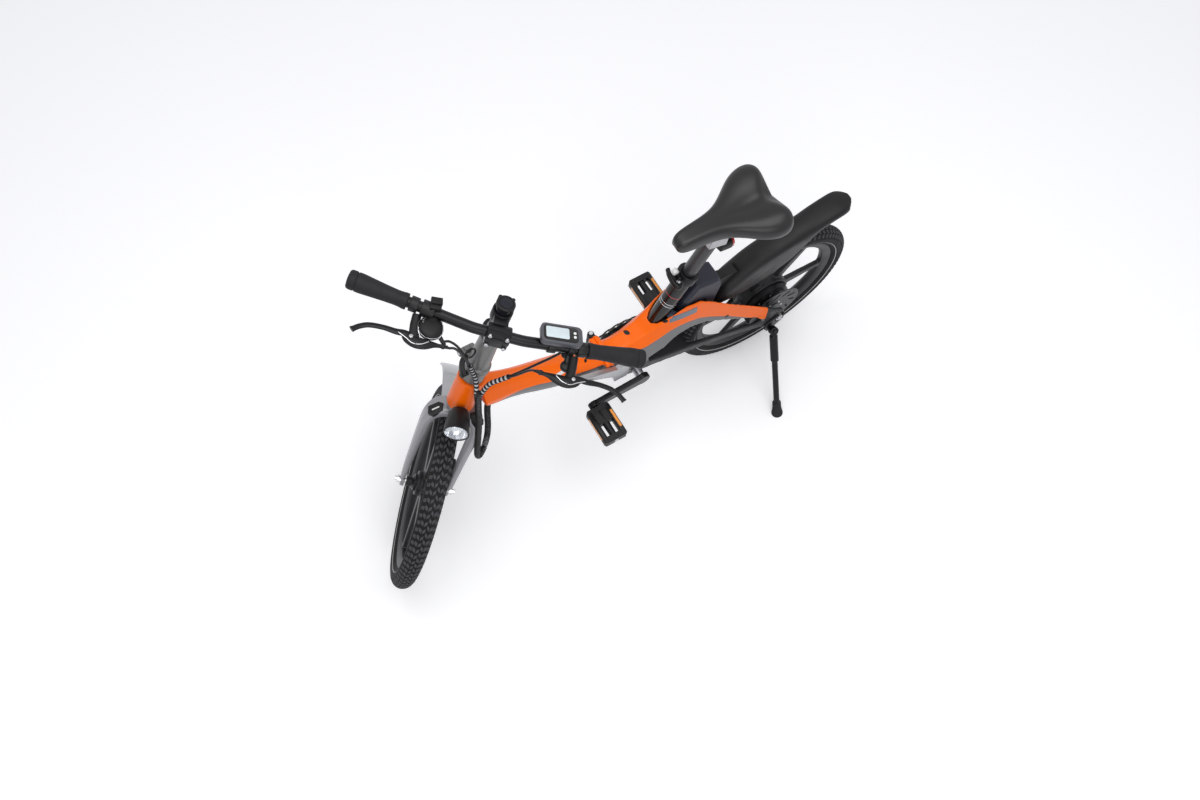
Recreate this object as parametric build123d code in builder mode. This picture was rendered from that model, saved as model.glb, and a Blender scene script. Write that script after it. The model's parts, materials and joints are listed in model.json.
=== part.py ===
"""An electric folding bicycle, leaning on its side stand with the bars turned.

Every piece is drawn upright.  The rear and front frame use the bicycle's own
frame: the origin is on the ground under the rear axle, +X points forward, +Y
to the left and +Z up.  What turns with the bars is drawn in the steering
frame, whose Z runs up the steering axis and whose X points forward.  At the
end the pieces are turned, leaned onto the stand and written.  Millimetres.
"""
from build123d import *
from math import asin, atan2, cos, degrees, pi, radians, sin, sqrt, tan
import os

os.makedirs("parts", exist_ok=True)

# ---------------------------------------------------------------- layout
wheelbase = 1020.0
head_angle = 71.7
fork_offset = 36.6
seat_angle = 68.5
bottom_bracket_x = 417.0
bottom_bracket_z = 297.0

lean = 5.45
steer_turn = 52.0
crank_turn = -2.0

# ---------------------------------------------------------------- wheels
tyre_ring = 228.5
tyre_section = 24.5
tyre_wall = 3.5
bead_seat = 203.0
bead_gap = 0.2
rim_inner = 184.0
rim_half_width = 15.5
rim_flange = 4.5
spoke_count = 6
spoke_thickness = 13.0
spoke_root_width = 30.0
spoke_tip_width = 18.0
motor_radius = 62.0
motor_left = 38.0
motor_right = -25.0
front_hub_radius = 21.0
front_hub_half_width = 33.0
hub_ring_wall = 9.0
axle_radius = 6.0
running_gap = 0.06
disc_radius = 80.0
disc_thickness = 1.8
rear_disc_y = 52.0
front_disc_y = 38.0
cog_radii = [28.5, 32.5, 36.5, 40.6, 44.7, 48.7, 52.8]
cog_pitch = 5.0
cog_thickness = 1.9
cassette_y = -28.0

# ---------------------------------------------------------------- frame
dropout_half = 67.5
dropout_thickness = 12.0
eyelet_at = (10.0, 280.0)
eyelet_radius = 2.75
stay_thickness = 12.0
shell_radius = 25.0
shell_half_width = 36.0
spindle_radius = 12.0
recess_floor = 432.0
seat_gap = 0.3
seat_tube_radius = 21.0
seat_tube_wall = 4.0
seat_tube_length = 318.0
seat_clamp_height = 26.0
seat_clamp_radius = 26.0
fold_x = 505.0
fold_bottom = 345.0
fold_top = 430.0
fold_half = 42.0
fold_plate = 12.0
fold_gap = 0.3
fold_pin_y = -50.0
fold_pin_radius = 5.0
fold_knuckle_radius = 9.0
knuckle_gap = 0.3
head_tube_radius = 31.0
head_tube_bottom = 332.0
head_tube_top = 437.0
steerer_radius = 14.3
bearing_height = 12.0
head_bore_radius = 18.0

# ---------------------------------------------------------------- drive
crank_length = 140.0
crank_inner = 61.0
crank_thickness = 14.0
chain_pitch = 12.7
ring_teeth = 42
chainring_thickness = 2.0
chainring_y = -52.0
tooth_depth = 5.0
plate_half_height = 4.2
plate_thickness = 1.0
plate_tip = 4.4
inner_link_half_width = 2.5
roller_radius = 3.2
roller_gap = 0.3
pulley_teeth = 11
pulley_thickness = 2.0
upper_pulley_at = (10.0, 178.0)
lower_pulley_at = (36.0, 128.0)
cage_gap = 1.0
cage_thickness = 1.5
cage_radius = 11.0
hanger_thickness = 5.0
hanger_pivot = (14.0, 212.0)
pivot_radius = 9.0
parallelogram_thickness = 9.0
pedal_axle_radius = 7.0
pedal_length = 64.0
pedal_width = 96.0
pedal_height = 24.0
pedal_gap = 3.0

# ---------------------------------------------------------------- seat
post_length = 330.0
post_visible = 115.0
saddle_length = 262.0
saddle_half_width = 95.0
saddle_nose_half_width = 24.0
saddle_height = 56.0
saddle_rise = 39.0
saddle_reach = 111.0

# ---------------------------------------------------------------- stand
stand_pivot = (22.0, 100.0, 226.0)
stand_pin_radius = 5.0
stand_eye_radius = 12.0
stand_plate = 6.0
stand_foot_x = 60.0
stand_foot_y = 252.0
stand_rod_radius = 8.0
stand_foot_height = 22.0

# ---------------------------------------------------------------- steering
crown_bottom = 286.0
crown_top = 330.0
crown_half_width = 66.0
crown_depth = 58.0
swing_gap = 5.0
leg_top_y = 54.0
leg_bottom_y = 57.0
fork_dropout_half = 50.0
post_base_top = 482.0
post_base_radius = 25.0
stem_pin_reach = 40.0
stem_pin_radius = 4.5
hinge_radius = 9.0
hinge_gap = 0.3
flange_height = 9.0
handlepost_below_bar = 68.0
handlepost_radius = 21.0
inner_stem_radius = 15.5
inner_stem_above_bar = 40.0
bar_height = 660.0
bar_reach = 48.0
bar_radius = 11.1
bar_half_width = 298.0
bar_sweep_back = 35.0
bar_straight_half = 50.0
grip_length = 118.0
grip_radius = 16.0

# ---------------------------------------------------------------- places
handlepost_top = bar_height - handlepost_below_bar
inner_stem_top = bar_height + inner_stem_above_bar
wheel_radius = tyre_ring + tyre_section
steering_up = Vector(-cos(radians(head_angle)), 0, sin(radians(head_angle)))
steering_ahead = Vector(sin(radians(head_angle)), 0, cos(radians(head_angle)))
rear_axle = Vector(0, 0, wheel_radius)
front_axle = Vector(wheelbase, 0, wheel_radius)
steering_foot = front_axle - steering_ahead * fork_offset
steering = Plane(steering_foot, x_dir=steering_ahead, z_dir=steering_up)
bottom_bracket = Vector(bottom_bracket_x, 0, bottom_bracket_z)
seat_up = Vector(-cos(radians(seat_angle)), 0, sin(radians(seat_angle)))
seat_line = Plane(bottom_bracket, x_dir=(sin(radians(seat_angle)), 0, cos(radians(seat_angle))), z_dir=seat_up)


def lowest_point(centre, axle_direction):
    """Height of a leaning tyre's lowest point: a ring of circles."""
    return centre.Z - tyre_ring * sqrt(1 - axle_direction.Z**2) - tyre_section


def parked(pitch):
    """The place of the upright bicycle once it is pitched and leaned."""
    return Rot(X=-lean) * Rot(Y=pitch)


def turned():
    """The steering frame's place, with the bars turned to the left."""
    return steering.location * Rot(Z=steer_turn)


def directed(place, vector):
    return (place * Pos(*vector)).position - place.position


def nose_height(pitch):
    """How much higher the front tyre stands than the rear one."""
    rear = parked(pitch) * Pos(*rear_axle)
    front = parked(pitch) * turned() * Pos(fork_offset, 0, 0)
    rear_low = lowest_point(rear.position, directed(rear, (0, 1, 0)))
    front_low = lowest_point(front.position, directed(front, (0, 1, 0)))
    return front_low - rear_low


pitch = 0.0
for step in range(6):
    slope = (nose_height(pitch + 0.01) - nose_height(pitch)) / 0.01
    pitch -= nose_height(pitch) / slope
rear_place = parked(pitch) * Pos(*rear_axle)
ground_drop = lowest_point(rear_place.position, directed(rear_place, (0, 1, 0)))
park = Pos(0, 0, -ground_drop) * parked(pitch)
ground = Plane(park.inverse())

pieces = []


def keep(label, part, place):
    """Note a finished piece with its name and where it stands."""
    part.label = label
    pieces.append((label, part, place))


upright = Location()

# ---------------------------------------------------------------- wheels
spin = Axis((0, 0, 0), (0, 1, 0))


def make_tyre():
    """A tyre with open inside, its beads in the rim."""
    bead_out = rim_half_width - 2.5 - bead_gap
    bead_in = bead_out - 4.0
    bead_foot = bead_seat + bead_gap
    wall_ring = tyre_section - tyre_wall
    shoulder = tyre_ring - sqrt(tyre_section**2 - bead_out**2)
    inner_shoulder = tyre_ring - sqrt(wall_ring**2 - bead_in**2)
    with BuildPart() as tyre:
        with BuildSketch(Plane.YZ):
            with BuildLine():
                ThreePointArc((-bead_out, shoulder), (0, tyre_ring + tyre_section), (bead_out, shoulder))
                Polyline((bead_out, shoulder), (bead_out, bead_foot), (bead_in, bead_foot),
                         (bead_in, inner_shoulder))
                ThreePointArc((bead_in, inner_shoulder), (0, tyre_ring + wall_ring),
                              (-bead_in, inner_shoulder))
                Polyline((-bead_in, inner_shoulder), (-bead_in, bead_foot), (-bead_out, bead_foot),
                         (-bead_out, shoulder))
            make_face()
        revolve(axis=spin)
    return tyre.part


def make_casting(hub_radius, hub_half_width):
    """A cast wheel: rim, tapered spokes and the ring that holds the hub."""
    flange_top = bead_seat + rim_flange
    with BuildPart() as casting:
        with BuildSketch(Plane.YZ):
            with BuildLine():
                half = [(15.5, flange_top), (13.0, flange_top), (13.0, bead_seat), (9.0, bead_seat),
                        (7.0, bead_seat - 6)]
                outside = [(7.0, rim_inner), (11.0, rim_inner + 6), (15.5, bead_seat)]
                left = [(y, r) for y, r in half]
                right = [(-y, r) for y, r in reversed(half)]
                low_right = [(-y, r) for y, r in reversed(outside)]
                Polyline(*left, *right, *low_right, *outside, close=True)
            make_face()
        revolve(axis=spin)
        with BuildSketch(Plane.XZ):
            root = hub_radius + hub_ring_wall / 2
            tip = rim_inner + 3
            with PolarLocations(0, spoke_count):
                Polygon((root, -spoke_root_width / 2), (tip, -spoke_tip_width / 2),
                        (tip, spoke_tip_width / 2), (root, spoke_root_width / 2), align=None)
        extrude(amount=spoke_thickness / 2, both=True)
        with BuildSketch(Plane.XZ):
            Circle(hub_radius + hub_ring_wall)
            Circle(hub_radius, mode=Mode.SUBTRACT)
        extrude(amount=hub_half_width, both=True)
    return casting.part


def make_disc(place_y, boss_radius):
    """A brake disc with a ring of slots."""
    with BuildPart() as disc:
        with BuildSketch(Plane.XZ.offset(-place_y)):
            Circle(disc_radius)
            Circle(boss_radius, mode=Mode.SUBTRACT)
            with PolarLocations(disc_radius - 20, 12):
                SlotOverall(26, 7, rotation=35, mode=Mode.SUBTRACT)
        extrude(amount=-disc_thickness)
    return disc.part


rear_wheel_at = Pos(*rear_axle)
front_wheel_at = turned() * Pos(fork_offset, 0, 0)

keep("rear_tyre", make_tyre(), rear_wheel_at)
keep("rear_wheel_casting", make_casting(motor_radius, 18.0), rear_wheel_at)

disc_boss = 22.0
with BuildPart() as rear_motor:
    with BuildSketch(Plane.YZ):
        with BuildLine():
            Polyline((-60, axle_radius + running_gap), (-60, 16), (motor_right - 2, 16),
                     (motor_right - 2, 24), (motor_right, 44), (motor_right, motor_radius - 6),
                     (motor_right + 6, motor_radius), (motor_left - 6, motor_radius),
                     (motor_left, motor_radius - 6), (motor_left, 44),
                     (motor_left + 3, disc_boss), (rear_disc_y + 3, disc_boss),
                     (rear_disc_y + 3, axle_radius + running_gap), close=True)
        make_face()
    revolve(axis=spin)
keep("rear_hub_motor", rear_motor.part, rear_wheel_at)
keep("rear_brake_disc", make_disc(rear_disc_y, disc_boss), rear_wheel_at)

with BuildPart() as cassette:
    for index, radius in enumerate(cog_radii):
        cog_y = cassette_y - (len(cog_radii) - 1 - index) * cog_pitch + cog_thickness / 2
        with BuildSketch(Plane.XZ.offset(-cog_y)):
            Circle(radius)
            Circle(16, mode=Mode.SUBTRACT)
        extrude(amount=cog_thickness)
    with BuildSketch(Plane.XZ.offset(-cassette_y)):
        Circle(22)
        Circle(16, mode=Mode.SUBTRACT)
    extrude(amount=cog_pitch * (len(cog_radii) - 1))
keep("cassette", cassette.part, rear_wheel_at)

with BuildPart() as rear_axle_rod:
    with BuildSketch(Plane.XZ.offset(-88)):
        Circle(axle_radius)
    extrude(amount=176)
    for side in (-1, 1):
        outer = dropout_half + dropout_thickness
        with BuildSketch(Plane.XZ.offset(-side * outer)):
            RegularPolygon(11, 6)
        extrude(amount=-side * 6)
keep("rear_axle", rear_axle_rod.part, rear_wheel_at)

keep("front_tyre", make_tyre(), front_wheel_at)
keep("front_wheel_casting", make_casting(front_hub_radius, 22.0), front_wheel_at)
with BuildPart() as front_hub:
    with BuildSketch(Plane.YZ):
        with BuildLine():
            Polyline((-46, axle_radius + running_gap), (-46, 12), (-front_hub_half_width, 12),
                     (-front_hub_half_width + 6, front_hub_radius),
                     (front_hub_half_width - 6, front_hub_radius), (front_disc_y, disc_boss - 1),
                     (front_disc_y + 3, disc_boss - 1), (front_disc_y + 3, 12), (46, 12),
                     (46, axle_radius + running_gap), close=True)
        make_face()
    revolve(axis=spin)
keep("front_hub", front_hub.part, front_wheel_at)
keep("front_brake_disc", make_disc(front_disc_y, disc_boss - 1), front_wheel_at)

# ---------------------------------------------------------------- rear frame
seat_tube_base = shell_radius + 4
dropout_outer = dropout_half + dropout_thickness


def frame_section(x, half_width, crease, top_half, top):
    """The rear frame's outline across the bicycle: flanks that lean in above a crease."""
    with BuildSketch(Plane.YZ.offset(x)) as section:
        with BuildLine():
            left = [(half_width, shell_radius), (half_width, crease), (top_half, top)]
            right = [(-y, z) for y, z in reversed(left)]
            Polyline(*left, *right, close=True)
        make_face()
    return section.sketch


rear_stations = [(fold_x, 31, 413, 20, 426), (470, 31, 402, 18, 420), (436, 34, 400, 19, 426),
                 (400, 39, 407, 22, 442), (368, 41, 422, 27, 463), (342, 43, 440, 32, 486),
                 (318, 45, 447, 34, 502), (297, 47, 449, 36, 511), (262, 49, 442, 40, 508),
                 (232, 52, 425, 45, 488), (171, 58, 380, 52, 430), (100, 67, 318, 62, 370),
                 (54, 74, 276, 69, 330), (34, dropout_outer, 306, dropout_outer - 1, 314),
                 (-30, dropout_outer, 268, dropout_outer - 1, 276)]
with BuildPart() as rear_frame:
    loft([frame_section(*station) for station in rear_stations], ruled=True)
    with BuildSketch(Plane.XZ):
        with BuildLine():
            Polyline((fold_x + 5, fold_bottom), (fold_x + 5, 600), (-60, 600), (-60, 330), (-12, 274),
                     (-20, 262), (-20, 240), (-8, 230), (35, 226), (110, 236), (220, 250), (364, 270),
                     (400, 272), (440, 276), (470, 305), close=True)
        make_face()
        with BuildLine():
            Polyline((384, 330), (346, 350), (314, 394), (281, 408), (235, 400), (150, 345), (72, 297),
                     (48, 266), (60, 256), (110, 262), (220, 277), (340, 294), (380, 304), close=True)
        make_face(mode=Mode.SUBTRACT)
        with BuildLine():
            Polyline((-60, 300), (-12, 274), (20, 300), (52, 329), (52, 640), (-60, 640), close=True)
        make_face(mode=Mode.SUBTRACT)
    extrude(amount=100, both=True, mode=Mode.INTERSECT)
    with BuildSketch(Plane.XY):
        with BuildLine():
            inner = [(-40, dropout_half), (30, dropout_half), (52, 64), (136, 53), (249, 38), (258, 36)]
            right = [(x, -y) for x, y in reversed(inner)]
            Polyline(*inner, *right, close=True)
        make_face()
    extrude(amount=700, mode=Mode.SUBTRACT)
    with BuildSketch(Plane.XY.offset(recess_floor)):
        with BuildLine():
            rim = [(240, 36), (279, 34), (328, 30), (350, 25), (366, 18)]
            right = [(x, -y) for x, y in reversed(rim)]
            Polyline(*rim, (376, 8), (376, -8), *right, close=True)
        make_face()
    extrude(amount=200, mode=Mode.SUBTRACT)
    with BuildSketch(Plane.XZ):
        with Locations((bottom_bracket_x, bottom_bracket_z)):
            Circle(shell_radius)
    extrude(amount=shell_half_width, both=True)
    with BuildSketch(Plane.YZ.offset(fold_x)):
        with Locations((0, (fold_bottom + fold_top) / 2)):
            RectangleRounded(2 * fold_half, fold_top - fold_bottom, 12)
    extrude(amount=-fold_plate)
    with Locations((fold_x, fold_pin_y, fold_bottom + 28)):
        Cylinder(fold_knuckle_radius + knuckle_gap, fold_top - fold_bottom - 56,
                 align=(Align.CENTER, Align.CENTER, Align.MIN), mode=Mode.SUBTRACT)
    with Locations((fold_x, fold_pin_y, fold_bottom + 4)):
        Cylinder(fold_knuckle_radius, 24, align=(Align.CENTER, Align.CENTER, Align.MIN))
    with Locations((fold_x, fold_pin_y, fold_top - 4)):
        Cylinder(fold_knuckle_radius, 24, align=(Align.CENTER, Align.CENTER, Align.MAX))
    with Locations((fold_x, fold_pin_y, 0)):
        Cylinder(fold_pin_radius, 900, mode=Mode.SUBTRACT)
    with BuildSketch(Plane.XZ):
        with Locations((bottom_bracket_x, bottom_bracket_z)):
            Circle(spindle_radius + running_gap)
        with Locations((0, wheel_radius)):
            Circle(axle_radius)
    extrude(amount=100, both=True, mode=Mode.SUBTRACT)
    with BuildSketch(Plane.XZ):
        with Locations(eyelet_at):
            Circle(eyelet_radius)
    extrude(amount=100, both=True, mode=Mode.SUBTRACT)
    with BuildSketch(seat_line.offset(seat_tube_base)):
        Circle(seat_tube_radius)
    extrude(amount=400, mode=Mode.SUBTRACT)
keep("rear_frame", rear_frame.part, upright)

with BuildPart() as seat_tube:
    with BuildSketch(seat_line.offset(seat_tube_base)):
        Circle(seat_tube_radius)
    extrude(amount=seat_tube_length - seat_tube_base)
    with BuildSketch(seat_line.offset(seat_tube_base + 8)):
        Circle(seat_tube_radius - seat_tube_wall)
    extrude(amount=400, mode=Mode.SUBTRACT)
keep("seat_tube", seat_tube.part, upright)

with BuildPart() as seat_clamp:
    with BuildSketch(seat_line.offset(seat_tube_length)):
        Circle(seat_clamp_radius)
        with Locations((seat_clamp_radius - 2, 0)):
            Rectangle(24, 14)
        Circle(seat_tube_radius - seat_tube_wall, mode=Mode.SUBTRACT)
    extrude(amount=seat_clamp_height)
keep("seat_clamp", seat_clamp.part, upright)

with BuildPart() as clamp_lever:
    with BuildSketch(seat_line.offset(seat_tube_length + 6)):
        with Locations((seat_clamp_radius + 14, 12)):
            SlotOverall(44, 9, rotation=90)
    extrude(amount=14)
    add(seat_clamp.part, mode=Mode.SUBTRACT)
keep("seat_clamp_lever", clamp_lever.part, upright)

cover_half_width = 30.0
case_base = recess_floor + seat_gap
with BuildPart() as cover:
    with BuildSketch(Plane.XZ):
        with BuildLine():
            Polyline((206, case_base), (196, 520), (212, 560), (276, 572), (304, 520), (318, case_base),
                     close=True)
        make_face()
    extrude(amount=cover_half_width, both=True)
    chamfer(cover.faces().sort_by(Axis.Y)[0].edges() + cover.faces().sort_by(Axis.Y)[-1].edges(), 8)
    with BuildSketch(seat_line):
        Circle(seat_tube_radius + 0.3)
    extrude(amount=400, mode=Mode.SUBTRACT)
keep("battery_case", cover.part, upright)

fender_wall = 2.5
fender_half_width = 33.0
fender_crown = 9.0
fender_ridge = [(194, 433), (160, 478), (108, 516), (46, 536), (-60, 562), (-132, 578), (-176, 576)]
fender_hem = [(-150, 562), (-80, 542), (-48, 506), (-10, 462), (54, 430), (120, 414)]


def fender_form(drop, half_width, crown):
    """The mudguard's outer form, or the hollow under it, drop below the ridge."""
    with BuildPart() as form:
        with BuildSketch(Plane.XZ):
            with BuildLine():
                ridge = Spline(*[(x, z - drop) for x, z in fender_ridge])
                Polyline(ridge @ 1, (ridge @ 1) - (-drop, 14), *[(x, z - 2 * drop) for x, z in fender_hem],
                         (188 + drop, 420 - 2 * drop), ridge @ 0)
            make_face()
        extrude(amount=half_width, both=True)
        edges = form.edges().filter_by(lambda edge: abs(edge.center().Y) > half_width - 0.1)
        chamfer(edges.filter_by(GeomType.BSPLINE), crown)
    return form.part


with BuildPart() as rear_fender:
    add(fender_form(0, fender_half_width, fender_crown))
    add(fender_form(fender_wall, fender_half_width - fender_wall, fender_crown - 1), mode=Mode.SUBTRACT)
    with BuildSketch(Plane.XY):
        with BuildLine():
            Polyline((300, -60), (-120, -60), (-120, -40), (-160, -34))
            ThreePointArc((-160, -34), (-186, 0), (-160, 34))
            Polyline((-160, 34), (-120, 40), (-120, 60), (300, 60), (300, -60))
        make_face()
    extrude(amount=800, mode=Mode.INTERSECT)
keep("rear_fender", rear_fender.part, upright)

with BuildPart() as fender_bracket:
    with BuildSketch(Plane.XZ):
        with BuildLine():
            Polyline((130, 498), (146, 512), (206, 506), (206, 470), (170, 464), close=True)
        make_face()
    extrude(amount=12, both=True)
    add(fender_form(0, fender_half_width, fender_crown), mode=Mode.SUBTRACT)
    add(cover.part, mode=Mode.SUBTRACT)
keep("fender_bracket", fender_bracket.part.solids().sort_by(Axis.X)[-1], upright)

# ---------------------------------------------------------------- seat
post_radius = seat_tube_radius - seat_tube_wall - running_gap
post_foot = seat_tube_length + seat_clamp_height + post_visible - post_length
post_top = post_foot + post_length
with BuildPart() as seatpost:
    with BuildSketch(seat_line.offset(post_foot)):
        Circle(post_radius)
    extrude(amount=post_length)
keep("seatpost", seatpost.part, upright)

post_head = bottom_bracket + seat_up * post_top
saddle_base = post_head.Z + saddle_rise
saddle_nose_x = post_head.X + saddle_reach
saddle_tail_x = saddle_nose_x - saddle_length


def saddle_outline(height, inset):
    """The saddle seen from above, drawn in by inset."""
    nose = saddle_nose_x - inset
    tail = saddle_tail_x + inset
    wide = saddle_half_width - inset
    narrow = saddle_nose_half_width - inset / 3
    left = [(nose - 16, narrow - 4), (nose - 90, narrow + 8), (nose - 150, 0.6 * wide),
            (tail + 52, wide), (tail + 10, 0.72 * wide)]
    right = [(x, -y) for x, y in reversed(left)]
    with BuildSketch(Plane.XY.offset(height)) as outline:
        with BuildLine():
            Spline((nose, 0), *left, (tail + 18, 0), *right, periodic=True)
        make_face()
    return outline.sketch


with BuildPart() as saddle:
    levels = [(0, 8), (0.4, 0), (0.8, 9), (1, 30)]
    loft([saddle_outline(saddle_base + share * saddle_height, inset) for share, inset in levels])
keep("saddle", saddle.part, upright)

with BuildPart() as saddle_clamp:
    with BuildSketch(Plane.XZ):
        with BuildLine():
            Polyline((post_head.X - 24, post_head.Z - 14), (post_head.X + 26, post_head.Z + 4),
                     (post_head.X + 22, saddle_base), (post_head.X - 26, saddle_base), close=True)
        make_face()
    extrude(amount=22, both=True)
    add(seatpost.part, mode=Mode.SUBTRACT)
keep("saddle_clamp", saddle_clamp.part, upright)

with BuildPart() as rear_light:
    with BuildSketch(Plane.YZ.offset(post_head.X - 26)):
        with Locations((0, post_head.Z + 18)):
            RectangleRounded(44, 30, 8)
    extrude(amount=-34)
keep("rear_light", rear_light.part, upright)

# ---------------------------------------------------------------- drive
at_crank = Pos(*bottom_bracket)
with BuildPart() as spindle:
    with BuildSketch(Plane.XZ.offset(-crank_inner)):
        Circle(spindle_radius)
    extrude(amount=2 * crank_inner)
keep("crank_spindle", spindle.part, at_crank)


def make_crank(side):
    """A crank arm, drawn pointing forward, on the left (1) or right (-1)."""
    with BuildPart() as crank:
        with BuildSketch(Plane.XZ.offset(-side * crank_inner)):
            with BuildLine():
                Polyline((0, -17), (crank_length, -11), (crank_length, 11), (0, 17), close=True)
            make_face()
            Circle(19)
            with Locations((crank_length, 0)):
                Circle(14)
                Circle(pedal_axle_radius, mode=Mode.SUBTRACT)
        extrude(amount=-side * crank_thickness)
    return crank.part


left_turn = Rot(Y=-crank_turn)
right_turn = Rot(Y=180 - crank_turn)
keep("left_crank", make_crank(1), at_crank * left_turn)
keep("right_crank", make_crank(-1), at_crank * right_turn)

ring_line = chain_pitch * ring_teeth / (2 * pi)
tooth_tip = ring_line - roller_radius - roller_gap
with BuildPart() as chainring:
    with BuildSketch(Plane.XZ.offset(-chainring_y)):
        Circle(tooth_tip - tooth_depth)
        with PolarLocations(0, ring_teeth):
            Polygon((tooth_tip - tooth_depth - 1, -4.4), (tooth_tip, -1.6), (tooth_tip, 1.6),
                    (tooth_tip - tooth_depth - 1, 4.4), align=None)
        Circle(spindle_radius, mode=Mode.SUBTRACT)
        with PolarLocations(48, 5):
            Circle(16, mode=Mode.SUBTRACT)
    extrude(amount=chainring_thickness)
keep("chainring", chainring.part, at_crank)


def make_pedal(side):
    """A flat pedal with a window, its axle running out of the crank."""
    inner = crank_inner + crank_thickness + 3
    with BuildPart() as pedal:
        with BuildSketch(Plane.XY.offset(-pedal_height / 2)):
            with Locations((0, side * (inner + pedal_width / 2))):
                RectangleRounded(pedal_length, pedal_width, 10)
                with Locations((26, 0), (-26, 0)):
                    Rectangle(22, 46, mode=Mode.SUBTRACT)
        extrude(amount=pedal_height)
        with BuildSketch(Plane.XZ.offset(-side * crank_inner)):
            Circle(pedal_axle_radius - running_gap)
        extrude(amount=-side * (inner - crank_inner + 10))
    return pedal.part


left_pedal_at = at_crank * left_turn * Pos(crank_length, 0, 0) * Rot(Y=crank_turn)
right_pedal_at = at_crank * right_turn * Pos(crank_length, 0, 0) * Rot(Y=crank_turn - 180)
keep("left_pedal", make_pedal(1), left_pedal_at)
keep("right_pedal", make_pedal(-1), right_pedal_at)

chain_middle = chainring_y - chainring_thickness / 2
cog_line = cog_radii[1] + roller_radius + roller_gap
pulley_line = chain_pitch / (2 * sin(pi / pulley_teeth))
# Each wheel that the chain runs over: its centre, its radius at the rollers,
# and 1 where the chain runs round it anticlockwise or -1 where clockwise.
chain_wheels = [((bottom_bracket_x, bottom_bracket_z), ring_line, 1), ((0, wheel_radius), cog_line, 1),
                (upper_pulley_at, pulley_line, -1), (lower_pulley_at, pulley_line, 1)]


def run_angle(here, there):
    """The direction of the straight run from one wheel to the next."""
    (x, z), radius, turn = here
    (next_x, next_z), next_radius, next_turn = there
    between = sqrt((next_x - x) ** 2 + (next_z - z) ** 2)
    return atan2(next_z - z, next_x - x) - asin((next_turn * next_radius - turn * radius) / between)


def rim_point(wheel, angle):
    """Where a run of that direction touches a wheel's roller circle."""
    (x, z), radius, turn = wheel
    return Vector(x + turn * radius * sin(angle), z - turn * radius * cos(angle))


def chain_stretches():
    """Each wrap and each straight run in turn, as its length and a function of distance."""
    stretches = []
    angles = [run_angle(here, chain_wheels[(index + 1) % 4]) for index, here in enumerate(chain_wheels)]
    for index, wheel in enumerate(chain_wheels):
        arrive, leave = angles[index - 1], angles[index]
        turn = wheel[2]
        swept = (turn * (leave - arrive)) % (2 * pi)
        following = chain_wheels[(index + 1) % 4]
        start, end = rim_point(wheel, leave), rim_point(following, leave)
        stretches.append((swept * wheel[1],
                          lambda far, wheel=wheel, arrive=arrive: rim_point(wheel, arrive + wheel[2] * far / wheel[1])))
        stretches.append(((end - start).length,
                          lambda far, start=start, end=end: start + (end - start).normalized() * far))
    return stretches


def chain_point(distance):
    """The point that far along the chain's loop."""
    for length, place in chain_stretches():
        if distance < length:
            return place(distance)
        distance -= length
    return place(length)


loop_length = sum(length for length, place in chain_stretches())
link_count = 2 * round(loop_length / chain_pitch / 2)
pins = [chain_point(loop_length * index / link_count) for index in range(link_count)]
outer_link_half_width = inner_link_half_width + plate_thickness


def link_plates(first, inside):
    """Every second link's pair of plates, as one sketch on their inner face."""
    with BuildSketch(Plane.XZ.offset(-chain_middle - inside)) as plates:
        for index in range(first, link_count, 2):
            here, there = pins[index], pins[(index + 1) % link_count]
            along = (there - here).normalized()
            across = Vector(-along.Y, along.X) * plate_half_height
            corners = [here - along * plate_tip, here - across, there - across,
                       there + along * plate_tip, there + across, here + across]
            Polygon(*[(corner.X, corner.Y) for corner in corners], align=None)
    return plates.sketch


with BuildPart() as chain:
    for first, half_width in ((0, outer_link_half_width), (1, inner_link_half_width)):
        for inside in (half_width - plate_thickness, -half_width):
            extrude(link_plates(first, inside), amount=-plate_thickness)
    with BuildSketch(Plane.XZ.offset(-chain_middle)):
        for pin in pins:
            with Locations((pin.X, pin.Y)):
                RegularPolygon(roller_radius, 6)
    extrude(amount=inner_link_half_width, both=True)
keep("chain", chain.part, upright)

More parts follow.
